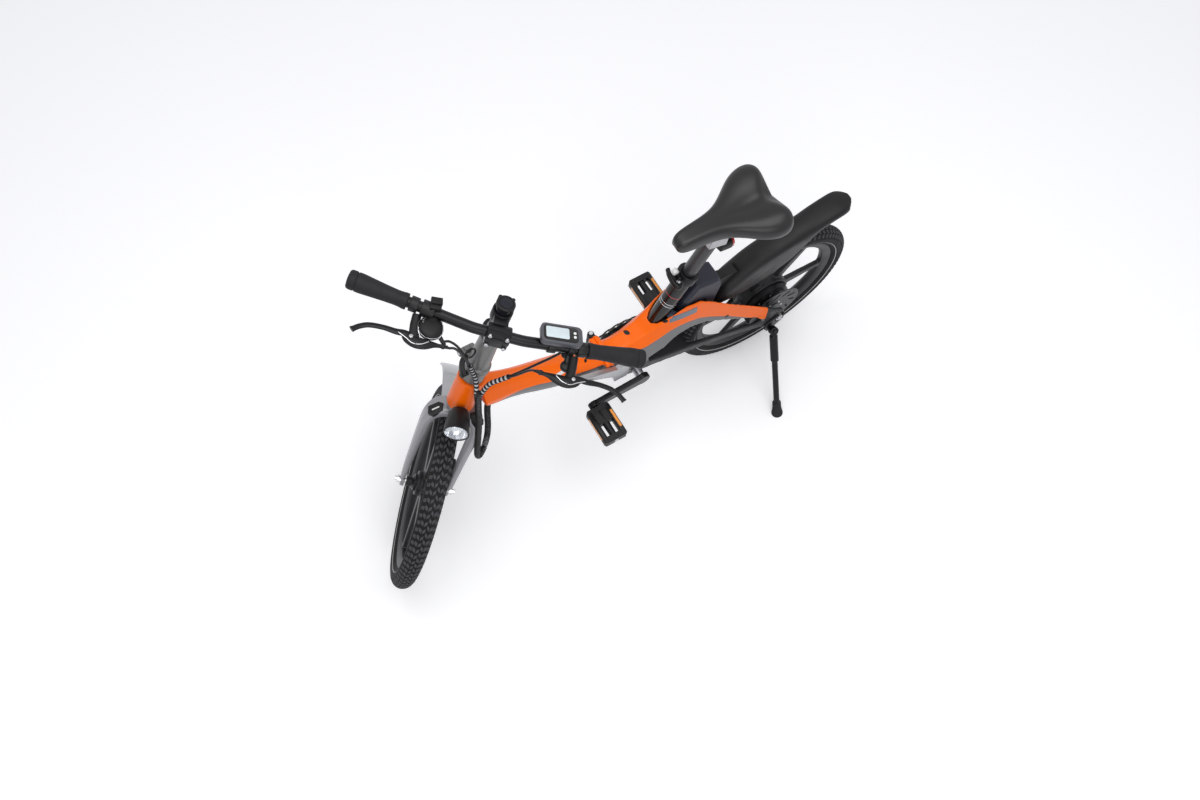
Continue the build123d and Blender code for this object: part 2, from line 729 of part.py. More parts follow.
# ---------------------------------------------------------------- derailleur
cage_inside = outer_link_half_width + cage_gap
cage_outer_face = chain_middle - cage_inside - cage_thickness
pulley_tip = pulley_line - roller_radius - roller_gap
hanger_y = -dropout_half
cage_run = Vector(*lower_pulley_at) - Vector(*upper_pulley_at)
cage_middle = (Vector(*lower_pulley_at) + Vector(*upper_pulley_at)) / 2
with BuildPart() as derailleur:
    for inner_face in (chain_middle + cage_inside + cage_thickness, chain_middle - cage_inside):
        with BuildSketch(Plane.XZ.offset(-inner_face)):
            with Locations((cage_middle.X, cage_middle.Y)):
                SlotCenterToCenter(cage_run.length, 2 * cage_radius,
                                   rotation=degrees(atan2(cage_run.Y, cage_run.X)))
        extrude(amount=cage_thickness)
    with BuildSketch(Plane.XZ.offset(-chain_middle)):
        with Locations(upper_pulley_at, lower_pulley_at):
            Circle(pulley_tip)
    extrude(amount=pulley_thickness / 2, both=True)
    with BuildSketch(Plane.XZ.offset(-chain_middle)):
        with Locations(upper_pulley_at, lower_pulley_at):
            Circle(5)
    extrude(amount=cage_inside, both=True)
    with BuildSketch(Plane.XZ.offset(-cage_outer_face)):
        with Locations(upper_pulley_at):
            Circle(pivot_radius)
    extrude(amount=cage_outer_face - hanger_y + parallelogram_thickness)
    with BuildSketch(Plane.XZ.offset(-hanger_y)):
        with BuildLine():
            Polyline((hanger_pivot[0] - 8, hanger_pivot[1]), (upper_pulley_at[0] - 8, upper_pulley_at[1]),
                     (upper_pulley_at[0] + 8, upper_pulley_at[1]), (hanger_pivot[0] + 8, hanger_pivot[1]),
                     close=True)
        make_face()
        with Locations(hanger_pivot):
            Circle(pivot_radius)
    extrude(amount=parallelogram_thickness)
    with BuildSketch(Plane.XZ.offset(-hanger_y)):
        with BuildLine():
            Polyline((-12, wheel_radius), (hanger_pivot[0] - 9, hanger_pivot[1]),
                     (hanger_pivot[0] + 9, hanger_pivot[1]), (12, wheel_radius), close=True)
        make_face()
        with Locations((0, wheel_radius)):
            Circle(14)
        with Locations(hanger_pivot):
            Circle(pivot_radius)
        with Locations((0, wheel_radius)):
            Circle(axle_radius, mode=Mode.SUBTRACT)
    extrude(amount=-hanger_thickness)
keep("derailleur", derailleur.part, upright)

# ---------------------------------------------------------------- stand
pivot = Vector(*stand_pivot)
foot = park.inverse() * Pos(stand_foot_x, stand_foot_y, 0)
foot_at = foot.position
leg_down = (foot_at - pivot).normalized()
leg_stowed = Vector(-1, 0.05, 0.1).normalized()
stand_axis = leg_down.cross(leg_stowed).normalized()
stand_swing = leg_down.get_angle(leg_stowed)
leg_length = (foot_at - pivot).length
leg_plane = Plane(foot_at, x_dir=(1, 0, 0), z_dir=-leg_down)
eye_plane = Plane(pivot, x_dir=leg_down, z_dir=stand_axis)
plate_outer = dropout_half + dropout_thickness + stand_plate
with BuildPart() as stand_bracket:
    with BuildSketch(Plane.XZ.offset(-plate_outer)):
        with BuildLine():
            Polyline((-16, 240), (-16, 262), (10, 268), (36, 250), (40, 222), (26, 200), (10, 206), close=True)
        make_face()
        with Locations((0, wheel_radius)):
            Circle(13, mode=Mode.SUBTRACT)
    extrude(amount=stand_plate)
    with BuildSketch(eye_plane.offset(-9)):
        Circle(stand_pin_radius + 3)
    extrude(amount=-14)
    with BuildSketch(eye_plane.offset(-10)):
        Circle(stand_pin_radius)
    extrude(amount=20)
    with BuildSketch(Plane.XZ.offset(-dropout_half - dropout_thickness)):
        Rectangle(900, 900)
    extrude(amount=60, mode=Mode.SUBTRACT)
keep("stand_bracket", stand_bracket.part, upright)

with BuildPart() as stand_leg:
    with BuildSketch(leg_plane.offset(stand_foot_height)):
        Circle(stand_rod_radius)
    extrude(amount=leg_length - stand_foot_height - 4)
    with BuildSketch(leg_plane.offset(leg_length - 90)):
        Circle(stand_rod_radius + 3)
    extrude(amount=76)
    with BuildSketch(eye_plane):
        Circle(stand_eye_radius)
    extrude(amount=8, both=True)
    with BuildSketch(eye_plane):
        Circle(stand_pin_radius + running_gap)
    extrude(amount=20, both=True, mode=Mode.SUBTRACT)
keep("stand_leg", stand_leg.part, upright)

with BuildPart() as stand_foot:
    with BuildSketch(ground):
        with Locations(Pos(ground.to_local_coords(foot_at))):
            Ellipse(20, 14)
    extrude(amount=stand_foot_height + 8)
    fillet(stand_foot.faces().sort_by(Axis.Z)[-1].edges(), 5)
    add(stand_leg.part, mode=Mode.SUBTRACT)
keep("stand_foot", stand_foot.part, upright)

# ---------------------------------------------------------------- front frame
head_low = steering_foot + steering_up * head_tube_bottom
head_mid = steering_foot + steering_up * ((head_tube_bottom + head_tube_top) / 2)


def beam_section(x, half_width, low, crease, high):
    """One cross-section of the beam: a crowned top over flanks that lean in below a crease."""
    with BuildSketch(Plane.YZ.offset(x)) as section:
        with BuildLine():
            rise = high - low
            half = [(0, high), (0.55 * half_width, high - 0.05 * rise), (half_width, crease),
                    (half_width - 1, crease - 0.24 * rise), (half_width - 6, low + 0.18 * rise),
                    (0.42 * half_width, low)]
            right = [(-y, z) for y, z in reversed(half[1:])]
            Polyline(*half, *right, close=True)
        make_face()
    return section.sketch


crown_swing = sqrt(crown_half_width**2 + (crown_depth / 2) ** 2) + swing_gap
beam_stations = [(fold_x + fold_gap + 4, 31, 350, 413, 428), (560, 33.5, 366, 434, 452),
                 (655, 33.7, 415, 478, 503), (710, 31, 446, 508, 532), (757, 31.5, 478, 532, 560),
                 (797, 36, 505, 553, 584), (838, 42, 548, 577, 606)]
with BuildPart() as front_frame:
    loft([beam_section(*station) for station in beam_stations])
    with BuildSketch(steering):
        Circle(crown_swing)
    extrude(amount=head_tube_bottom, mode=Mode.SUBTRACT)
    with BuildSketch(steering.offset(head_tube_bottom)):
        Circle(head_tube_radius)
    extrude(amount=head_tube_top - head_tube_bottom)
    with BuildSketch(Plane.YZ.offset(fold_x + fold_gap)):
        with Locations((0, (fold_bottom + fold_top) / 2)):
            RectangleRounded(2 * fold_half, fold_top - fold_bottom, 12)
    extrude(amount=fold_plate)
    with Locations((fold_x, fold_pin_y, fold_bottom + 28 + knuckle_gap)):
        Cylinder(fold_knuckle_radius, fold_top - fold_bottom - 56 - 2 * knuckle_gap,
                 align=(Align.CENTER, Align.CENTER, Align.MIN))
    for height in (fold_bottom + 4, fold_top - 28):
        with Locations((fold_x, fold_pin_y, height - knuckle_gap)):
            Cylinder(fold_knuckle_radius + knuckle_gap, 24 + 2 * knuckle_gap,
                     align=(Align.CENTER, Align.CENTER, Align.MIN), mode=Mode.SUBTRACT)
    with Locations((fold_x, fold_pin_y, 0)):
        Cylinder(fold_pin_radius + running_gap, 900, mode=Mode.SUBTRACT)
    with BuildSketch(steering):
        Circle(steerer_radius + running_gap)
    extrude(amount=600, mode=Mode.SUBTRACT)
    with BuildSketch(steering.offset(head_tube_bottom + bearing_height)):
        Circle(head_bore_radius)
    extrude(amount=head_tube_top - head_tube_bottom - 2 * bearing_height, mode=Mode.SUBTRACT)
keep("front_frame", front_frame.part, upright)

with BuildPart() as fold_pin:
    with Locations((fold_x, fold_pin_y, fold_bottom + 1)):
        Cylinder(fold_pin_radius, fold_top - fold_bottom - 2, align=(Align.CENTER, Align.CENTER, Align.MIN))
keep("fold_pin", fold_pin.part, upright)

with BuildPart() as frame_latch:
    with BuildSketch(Plane.XZ.offset(-fold_half - fold_gap)):
        with BuildLine():
            Polyline((460, 340), (454, 400), (492, 404), (560, 440), (612, 466), (620, 456), (560, 420),
                     (500, 372), (496, 340), close=True)
        make_face()
    extrude(amount=-14)
keep("frame_latch", frame_latch.part, upright)

# ---------------------------------------------------------------- fork
with BuildPart() as fork:
    with BuildSketch(Plane.XY.offset(crown_bottom)):
        RectangleRounded(crown_depth, 2 * crown_half_width, 14)
    extrude(amount=crown_top - crown_bottom)
    with BuildSketch(Plane.XY.offset(crown_top)):
        Circle(steerer_radius)
    extrude(amount=post_base_top - 8 - crown_top)
    for side in (-1, 1):
        with BuildSketch(Plane.XY.offset(crown_bottom + 4)):
            with Locations((6, side * leg_top_y)):
                RectangleRounded(38, 23, 9)
        with BuildSketch(Plane.XY.offset(150)):
            with Locations((18, side * (leg_top_y + leg_bottom_y) / 2)):
                RectangleRounded(31, 19, 8)
        with BuildSketch(Plane.XY.offset(14)):
            with Locations((fork_offset - 2, side * leg_bottom_y)):
                RectangleRounded(22, 13, 5)
        loft()
        with BuildSketch(Plane.XZ.offset(-side * fork_dropout_half)):
            with Locations((fork_offset, 0)):
                Circle(15)
            with Locations((fork_offset - 1, 12)):
                Rectangle(22, 26)
        extrude(amount=-side * 9)
    with BuildSketch(Plane.XZ):
        with Locations((fork_offset, 0)):
            Circle(axle_radius)
            Circle(wheel_radius + 8)
    extrude(amount=tyre_section + 8, both=True, mode=Mode.SUBTRACT)
    with BuildSketch(Plane.XZ):
        with Locations((fork_offset, 0)):
            Circle(axle_radius)
    extrude(amount=100, both=True, mode=Mode.SUBTRACT)
keep("fork", fork.part, turned())

with BuildPart() as front_axle_rod:
    with BuildSketch(Plane.XZ.offset(-74)):
        Circle(axle_radius)
    extrude(amount=148)
    for side in (-1, 1):
        with BuildSketch(Plane.XZ.offset(-side * (fork_dropout_half + 9))):
            Circle(10)
        extrude(amount=-side * 9)
keep("front_axle", front_axle_rod.part, front_wheel_at)

with BuildPart() as front_fender:
    with BuildSketch(Plane.XZ):
        with BuildLine():
            CenterArc((fork_offset, 0), wheel_radius + 14, 98, 68)
        trace(line_width=3)
    extrude(amount=30, both=True)
    with BuildSketch(Plane.XY.offset(crown_bottom)):
        with Locations((-10, 0)):
            Rectangle(16, 24)
    extrude(amount=-22)
keep("front_fender", front_fender.part, turned())

with BuildPart() as headlight:
    with BuildSketch(Plane.XZ):
        with BuildLine():
            Polyline((head_tube_radius + 5, 350), (44, 372), (96, 378), (98, 350), close=True)
        make_face()
    revolve(axis=Axis((0, 0, 350), (1, 0, 0)))
keep("headlight", headlight.part, turned())

with BuildPart() as light_bracket:
    with BuildSketch(Plane.XZ):
        with BuildLine():
            Polyline((29, 296), (29, 318), (50, 334), (60, 330), (40, 300), close=True)
        make_face()
    extrude(amount=9, both=True)
    add(headlight.part, mode=Mode.SUBTRACT)
keep("headlight_bracket", light_bracket.part, turned())

pin_corner = stem_pin_reach * cos(radians(45))
hinge_plane = Plane((-pin_corner, -pin_corner, post_base_top), x_dir=(1, 1, 0), z_dir=(1, -1, 0))
knuckle_half = 8.0
knuckle_outer = 20.0


def hinge_lug(low, high, inner, outer):
    """A flat lug from the post's flange to the hinge pin, between two widths."""
    with BuildPart() as lug:
        with BuildSketch(hinge_plane.offset(inner)):
            with Locations((stem_pin_reach / 2, (low + high) / 2)):
                Rectangle(stem_pin_reach, high - low)
            Circle(hinge_radius)
        extrude(amount=outer - inner)
        with BuildSketch(Plane.XY):
            Circle(steerer_radius)
        extrude(amount=600, mode=Mode.SUBTRACT)
    return lug.part


with BuildPart() as post_base:
    with BuildSketch(Plane.XY.offset(head_tube_top + 1)):
        Circle(post_base_radius)
    extrude(amount=post_base_top - head_tube_top - 1)
    with BuildSketch(Plane.XY.offset(post_base_top)):
        Circle(post_base_radius + 3)
    extrude(amount=-flange_height)
    add(hinge_lug(-flange_height, 0, hinge_gap - knuckle_half, knuckle_half - hinge_gap))
    with BuildSketch(hinge_plane):
        Circle(stem_pin_radius)
    extrude(amount=30, both=True, mode=Mode.SUBTRACT)
    with BuildSketch(Plane.XY):
        Circle(steerer_radius)
    extrude(amount=post_base_top - 8, mode=Mode.SUBTRACT)
keep("post_base", post_base.part, turned())

# ---------------------------------------------------------------- handlepost
with BuildPart() as handlepost:
    with BuildSketch(Plane.XY.offset(post_base_top + hinge_gap)):
        Circle(post_base_radius + 3)
    extrude(amount=flange_height)
    with BuildSketch(Plane.XY.offset(post_base_top + flange_height)):
        Circle(handlepost_radius + 3)
    with BuildSketch(Plane.XY.offset(handlepost_top)):
        Circle(handlepost_radius)
    loft()
    add(hinge_lug(hinge_gap, flange_height, knuckle_half, knuckle_outer))
    add(hinge_lug(hinge_gap, flange_height, -knuckle_outer, -knuckle_half))
    with BuildSketch(hinge_plane):
        Circle(stem_pin_radius + running_gap)
    extrude(amount=30, both=True, mode=Mode.SUBTRACT)
    with BuildSketch(Plane.XY.offset(post_base_top + 14)):
        Circle(inner_stem_radius + running_gap)
    extrude(amount=200, mode=Mode.SUBTRACT)
keep("handlepost", handlepost.part, turned())

with BuildPart() as stem_pin:
    with BuildSketch(hinge_plane):
        Circle(stem_pin_radius)
    extrude(amount=21, both=True)
keep("stem_pin", stem_pin.part, turned())

with BuildPart() as post_collar:
    with BuildSketch(Plane.XY.offset(handlepost_top)):
        Circle(handlepost_radius + 4)
        with Locations((-handlepost_radius - 4, 0)):
            Rectangle(16, 18)
        Circle(inner_stem_radius + running_gap, mode=Mode.SUBTRACT)
    extrude(amount=24)
keep("post_collar", post_collar.part, turned())

# ---------------------------------------------------------------- bars
with BuildPart() as stem:
    with BuildSketch(Plane.XY.offset(post_base_top + 30)):
        Circle(inner_stem_radius)
    extrude(amount=inner_stem_top - post_base_top - 30)
    with BuildSketch(Plane.XZ):
        with BuildLine():
            Polyline((0, bar_height - 24), (bar_reach, bar_height - 21), (bar_reach, bar_height + 21),
                     (0, bar_height + 24), close=True)
        make_face()
        with Locations((bar_reach, bar_height)):
            Circle(21)
    extrude(amount=24, both=True)
    with BuildSketch(Plane.XZ):
        with Locations((bar_reach, bar_height)):
            Circle(bar_radius)
    extrude(amount=60, both=True, mode=Mode.SUBTRACT)
keep("stem", stem.part, turned())

bar_end = Vector(bar_reach - bar_sweep_back, bar_half_width, bar_height)
bar_bend = Vector(bar_reach, bar_straight_half, bar_height)
with BuildPart() as handlebar:
    with BuildLine():
        FilletPolyline((bar_end.X, -bar_end.Y, bar_end.Z), (bar_bend.X, -bar_bend.Y, bar_bend.Z),
                       (bar_bend.X, bar_bend.Y, bar_bend.Z), (bar_end.X, bar_end.Y, bar_end.Z), radius=120)
    with BuildSketch(Plane((bar_end.X, -bar_end.Y, bar_end.Z), z_dir=(bar_sweep_back, bar_half_width - bar_straight_half, 0))):
        Circle(bar_radius)
    sweep()
keep("handlebar", handlebar.part, turned())


def on_bar(side, from_end):
    """A plane across the bar, its Z pointing out of the bar's end."""
    outward = (Vector(bar_end.X, side * bar_end.Y, bar_end.Z) - Vector(bar_bend.X, side * bar_bend.Y, bar_bend.Z)).normalized()
    origin = Vector(bar_end.X, side * bar_end.Y, bar_end.Z) - outward * from_end
    return Plane(origin, x_dir=(0, 0, 1), z_dir=outward)


for side, name in ((1, "left"), (-1, "right")):
    with BuildPart() as grip:
        with BuildSketch(on_bar(side, grip_length)):
            Circle(grip_radius)
        extrude(amount=grip_length + 4)
        with BuildSketch(on_bar(side, grip_length)):
            Circle(bar_radius)
        extrude(amount=grip_length, mode=Mode.SUBTRACT)
    keep(name + "_grip", grip.part, turned())

    with BuildPart() as lever:
        with BuildSketch(on_bar(side, grip_length + 22)):
            Circle(16)
            with Locations((-4, side * 20)):
                Rectangle(20, 26)
            Circle(bar_radius, mode=Mode.SUBTRACT)
        extrude(amount=18)
        with BuildSketch(Plane.XY.offset(bar_height - 20)):
            with BuildLine():
                Polyline((46, side * 158), (80, side * 170), (112, side * 250), (112, side * 272),
                         (104, side * 274), (98, side * 252), (70, side * 186), (42, side * 172), close=True)
            make_face()
        extrude(amount=9)
    keep(name + "_brake_lever", lever.part, turned())

with BuildPart() as shifter:
    with BuildSketch(on_bar(-1, 172)):
        Circle(18)
        with Locations((20, 6)):
            RectangleRounded(26, 34, 8)
        Circle(bar_radius, mode=Mode.SUBTRACT)
    extrude(amount=26)
keep("shifter", shifter.part, turned())

with BuildPart() as display:
    with BuildSketch(on_bar(1, 200)):
        Circle(16)
        with Locations((18, -4)):
            Rectangle(14, 12)
        Circle(bar_radius, mode=Mode.SUBTRACT)
    extrude(amount=16)
    with BuildSketch(on_bar(1, 222)):
        with Locations((25, -8)):
            RectangleRounded(14, 44, 4)
    extrude(amount=84)
keep("display", display.part, turned())

with BuildPart() as bell:
    with BuildSketch(on_bar(1, 158)):
        Circle(15)
        with Locations((-20, -8)):
            Circle(12)
        Circle(bar_radius, mode=Mode.SUBTRACT)
    extrude(amount=12)
keep("bell", bell.part, turned())

# ---------------------------------------------------------------- brakes
def make_caliper(centre_x, centre_z, disc_y, inner_y, outer_y):
    """A caliper block with a slot for the disc."""
    with BuildPart() as caliper:
        with BuildSketch(Plane.XZ.offset(-inner_y)):
            with Locations((centre_x, centre_z)):
                RectangleRounded(34, 42, 8)
        extrude(amount=inner_y - outer_y)
        with BuildSketch(Plane.XZ.offset(-disc_y + pad_gap)):
            Circle(disc_radius + 3)
        extrude(amount=-disc_thickness - 2 * pad_gap, mode=Mode.SUBTRACT)
    return caliper.part


pad_gap = 1.5
rear_caliper_at = (70.0, 26.0)
front_caliper_at = (-33.0, 52.0)
with BuildPart() as rear_caliper:
    add(make_caliper(*rear_caliper_at, rear_disc_y, rear_disc_y - 9, 66.0))
    add(rear_frame.part.moved(Pos(-rear_axle)), mode=Mode.SUBTRACT)
keep("rear_brake_caliper", rear_caliper.part, rear_wheel_at)

with BuildPart() as front_caliper:
    add(make_caliper(*front_caliper_at, front_disc_y, front_disc_y - 8, 54.0))
    add(fork.part.moved(Pos(-fork_offset, 0, 0)), mode=Mode.SUBTRACT)
keep("front_brake_caliper", front_caliper.part, front_wheel_at)

# ---------------------------------------------------------------- cables
def make_cable(points, radius):
    """A cable along a route of straight runs joined by wide tangent arcs."""
    corners = []
    for before, here, after in zip(points, points[1:], points[2:]):
        run_in = Vector(*here) - Vector(*before)
        run_out = Vector(*after) - Vector(*here)
        half_turn = radians(run_in.get_angle(run_out)) / 2
        corners.append(0.45 * min(run_in.length, run_out.length) / tan(half_turn))
    print("cable bends", [round(corner) for corner in corners])
    start = Vector(*points[0])
    with BuildPart() as cable:
        with BuildLine() as route:
            FilletPolyline(*points, radius=corners)
        with BuildSketch(Plane(start, z_dir=Vector(*points[1]) - start)):
            Circle(radius)
        sweep()
        length = sum(edge.length for edge in route.edges())
    print("cable volume", round(cable.part.volume), round(pi * radius**2 * length))
    return cable.part


bundle_radius = 5.5
cable_radius = 3.5
junction = (862, 50, 668)
loop_route = [junction, (868, 60, 610), (872, 66, 550), (876, 68, 490), (881, 71, 435), (882, 71, 387),
              (872, 62, 352), (852, 46, 340), (836, 33, 362), (829, 26, 402), (826, 20, 445), (823, 15, 482),
              (818, 13, 517.6)]
keep("cable_loop", make_cable(loop_route, bundle_radius), upright)

fork_junction = (turned().inverse() * Pos(*junction)).position
split = Vector(0, 3.7, 0)
lift = Vector(0, 0, 2.4)
right_route = [tuple(fork_junction + lift - split), (44, 0, 490), (40, -18, 540), (50, -52, 590), (66, -92, 624),
               (70, -130, 642), (60, -158.3, 652)]
left_route = [tuple(fork_junction + lift + split), (54, 32, 478), (66, 60, 515), (78, 88, 555), (80, 112, 597),
              (72, 134, 634), (60, 158.3, 652)]
keep("cable_right", make_cable(right_route, cable_radius), turned())
keep("cable_left", make_cable(left_route, cable_radius), turned())

# ---------------------------------------------------------------- writing
standing = [(label, part.moved(place).moved(park)) for label, part, place in pieces]
boxes = [part.bounding_box() for label, part in standing]
middle_x = (min(box.min.X for box in boxes) + max(box.max.X for box in boxes)) / 2
middle_y = (min(box.min.Y for box in boxes) + max(box.max.Y for box in boxes)) / 2
for label, part in standing:
    centred = part.moved(Pos(-middle_x, -middle_y, 0))
    centred.label = label
    export_step(centred, f"parts/{label}.step")
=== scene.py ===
"""The looks of an electric folding bicycle that leans on its side stand.

Wheels, frame and drive are drawn upright, in the bicycle's own frame in millimetres: the
origin is under the rear axle, X points forward, Y to the left and Z up.  What turns with
the bars is drawn in the steering frame, whose Z runs up the steering axis, and a wheel
about its own axle, along Y.  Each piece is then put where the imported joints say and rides
on its body.
"""
import bpy
import bmesh
import json
from mathutils.bvhtree import BVHTree
from math import cos, hypot, pi, radians, sin, sqrt
from mathutils import Matrix, Vector


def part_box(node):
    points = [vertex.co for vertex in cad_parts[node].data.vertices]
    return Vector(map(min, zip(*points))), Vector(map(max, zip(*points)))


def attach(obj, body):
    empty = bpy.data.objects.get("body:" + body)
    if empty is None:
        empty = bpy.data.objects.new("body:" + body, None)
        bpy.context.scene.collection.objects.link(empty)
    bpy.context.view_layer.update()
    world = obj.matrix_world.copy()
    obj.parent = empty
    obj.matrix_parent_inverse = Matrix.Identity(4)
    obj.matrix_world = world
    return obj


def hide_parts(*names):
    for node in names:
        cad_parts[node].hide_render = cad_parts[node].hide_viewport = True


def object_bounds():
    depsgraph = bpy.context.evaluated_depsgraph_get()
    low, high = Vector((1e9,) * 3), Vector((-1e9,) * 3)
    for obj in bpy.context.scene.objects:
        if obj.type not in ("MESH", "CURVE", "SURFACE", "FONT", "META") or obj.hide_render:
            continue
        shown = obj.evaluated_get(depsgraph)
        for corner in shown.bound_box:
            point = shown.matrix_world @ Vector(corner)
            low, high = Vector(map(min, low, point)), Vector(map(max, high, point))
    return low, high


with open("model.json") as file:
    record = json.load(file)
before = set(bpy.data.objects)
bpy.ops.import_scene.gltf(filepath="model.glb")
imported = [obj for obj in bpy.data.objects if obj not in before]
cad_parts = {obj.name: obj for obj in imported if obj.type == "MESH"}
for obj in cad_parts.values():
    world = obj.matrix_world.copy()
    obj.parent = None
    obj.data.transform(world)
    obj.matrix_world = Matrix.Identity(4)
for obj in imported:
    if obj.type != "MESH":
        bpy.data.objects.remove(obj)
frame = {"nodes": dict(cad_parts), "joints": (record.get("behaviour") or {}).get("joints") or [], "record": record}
cad_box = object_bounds()
joints = {joint["name"]: joint for joint in frame["joints"]}
MM = 0.001
UP, AHEAD = (0, 0, 1), (1, 0, 0)

# ------------------------------------------------------------------ places


def axes_at(origin, x, y, z):
    """A place in metres whose own units are millimetres."""
    rows = [[x[i], y[i], z[i], origin[i]] for i in range(3)] + [[0, 0, 0, 1]]
    return Matrix(rows) @ Matrix.Scale(MM, 4)


rear_axle = Vector(joints["rear_wheel_spin"]["pos_m"])
crank_axle = Vector(joints["crank_spin"]["pos_m"])
front_axle = Vector(joints["front_wheel_spin"]["pos_m"])
steering_up = -Vector(joints["steering"]["axis"])
across = Vector(joints["rear_wheel_spin"]["axis"])
front_across = Vector(joints["front_wheel_spin"]["axis"])

WHEEL_RADIUS = 253.0
BRACKET_X, BRACKET_Z = 417.0, 297.0  # the bottom bracket's axle
FORK_OFFSET = 36.6  # from the steering axis to the front axle
rise = Vector((BRACKET_X, BRACKET_Z - WHEEL_RADIUS)).normalized()
to_crank = (crank_axle - rear_axle).normalized()
square = to_crank.cross(across)
ahead = to_crank * rise.x - square * rise.y
above = ahead.cross(across)
upright = axes_at(rear_axle - above * WHEEL_RADIUS * MM, ahead, across, above)
steer_ahead = front_across.cross(steering_up)
steering = axes_at(front_axle - steer_ahead * FORK_OFFSET * MM, steer_ahead, front_across, steering_up)
rear_wheel = axes_at(rear_axle, ahead, across, above)
front_wheel = axes_at(front_axle, steer_ahead, front_across, steering_up)
seat_up = Vector(joints["seat_height"]["axis"])
seat = axes_at(crank_axle, across.cross(seat_up), across, seat_up)

# ------------------------------------------------------------------ materials


def hue(code):
    """An sRGB hex colour as linear red, green, blue and alpha."""
    shares = [int(code[i:i + 2], 16) / 255 for i in (0, 2, 4)]
    return (*[v / 12.92 if v <= 0.04045 else ((v + 0.055) / 1.055) ** 2.4 for v in shares], 1.0)


def add(tree, kind, inputs=None, **settings):
    """One node with its settings, its inputs given as values or linked to other sockets."""
    made = tree.nodes.new(kind)
    for name, value in settings.items():
        setattr(made, name, value)
    for socket, value in (inputs or {}).items():
        if isinstance(value, bpy.types.NodeSocket):
            tree.links.new(value, made.inputs[socket])
        else:
            made.inputs[socket].default_value = value
    return made


SIDEWALL_LINE = (218.0, 0.9)  # the light band's radius and half width


def finish(name, colour, rough, metallic=0.0, ior=1.5, coat=0.0, mottle=(60, 0.06), grain=(0.8, 0.05),
           second=None, mask=None, pebbled=False):
    """A finish in one colour, or in two where mask(tree) gives the share of the second.

    mottle is the size in mm of the drift in tone and its share, and grain the size and
    height in mm of the fine texture.
    """
    material = bpy.data.materials.new(name)
    material.use_nodes = True
    tree = material.node_tree
    shader = tree.nodes["Principled BSDF"]
    for socket, value in (("Metallic", metallic), ("IOR", ior), ("Coat Weight", coat),
                          ("Coat Roughness", 0.06)):
        shader.inputs[socket].default_value = value
    place = add(tree, "ShaderNodeTexCoord").outputs["Object"]
    drift = add(tree, "ShaderNodeTexNoise", {"Vector": place, "Scale": 1000 / mottle[0], "Detail": 3.0})
    base = hue(colour)[:3]
    if mask:
        mixed = add(tree, "ShaderNodeMix", {0: mask(tree), 6: hue(colour), 7: hue(second)},
                    data_type="RGBA")
        base = mixed.outputs[2]

    def drifting(low, high):
        return add(tree, "ShaderNodeMapRange", {"Value": drift.outputs["Fac"], "From Min": 0.3,
                                                "From Max": 0.7,
                                                "To Min": low, "To Max": high}).outputs["Result"]

    toned = add(tree, "ShaderNodeVectorMath", {0: base, "Scale": drifting(1 - mottle[1], 1 + mottle[1])},
                operation="SCALE")
    tree.links.new(toned.outputs["Vector"], shader.inputs["Base Color"])
    tree.links.new(drifting(rough * 0.88, min(1.0, rough * 1.12)), shader.inputs["Roughness"])
    if pebbled:
        fine = add(tree, "ShaderNodeTexVoronoi", {"Vector": place, "Scale": 1000 / grain[0]},
                   feature="SMOOTH_F1").outputs["Distance"]
    else:
        fine = add(tree, "ShaderNodeTexNoise", {"Vector": place, "Scale": 1000 / grain[0]}).outputs["Fac"]
    bump = add(tree, "ShaderNodeBump", {"Height": fine, "Strength": 1.0, "Distance": grain[1] * MM})
    tree.links.new(bump.outputs["Normal"], shader.inputs["Normal"])
    return material


def attribute_mask(name, low, high):
    """A mask that goes from 0 to 1 as a piece's attribute goes from low to high."""
    def mask(tree):
        value = add(tree, "ShaderNodeAttribute", attribute_name=name).outputs["Fac"]
        return add(tree, "ShaderNodeMapRange", {"Value": value, "From Min": low,
                                                "From Max": high}).outputs["Result"]
    return mask


def line_mask(name, band):
    """A mask that is 1 where a piece's attribute lies in a band given as its middle and half width."""
    def mask(tree):
        value = add(tree, "ShaderNodeAttribute", attribute_name=name).outputs["Fac"]
        return add(tree, "ShaderNodeMath", {0: value, 1: band[0], 2: band[1]},
                   operation="COMPARE").outputs[0]
    return mask


def rubber(name, colour, rough, **more):
    """A finish of low reflectance, as black rubbers and plastics have."""
    return finish(name, colour, rough, ior=more.pop("ior", 1.36), **more)


# Powder-coated aluminium under lacquer, orange above the crease and satin grey below it: a
# bright, even orange with a faint, broad shine.
frame_paint = finish("orange_and_grey_lacquer", "FF6C00", 0.38, ior=1.3, coat=0.06, mottle=(90, 0.04),
                     grain=(1.5, 0.01), second="68696A", mask=attribute_mask("flank", -0.6, 0.6))
# Light metallic lacquer on the fork: a soft sheen that follows its rounds.
grey_paint = finish("grey_metallic_lacquer", "98979B", 0.36, metallic=0.3, coat=0.15, mottle=(70, 0.05),
                    grain=(1.0, 0.01))
# Darker lacquer on the handlepost: the same sheen, dimmer.
handlepost_paint = finish("dark_grey_lacquer", "6F6F6E", 0.36, metallic=0.3, coat=0.1, grain=(1.0, 0.01))
# Satin paint on the dropouts and lower stays: black that recedes behind the orange.
dropout_paint = rubber("satin_dropout_paint", "1E1F21", 0.45, ior=1.38, mottle=(30, 0.08),
                       grain=(1.0, 0.02))
# Gloss black lacquer on the seat tube: near-mirror streaks of light.
gloss_black = finish("gloss_black_lacquer", "060607", 0.12, ior=1.42, coat=0.25, mottle=(80, 0.05),
                     grain=(2.0, 0.006))
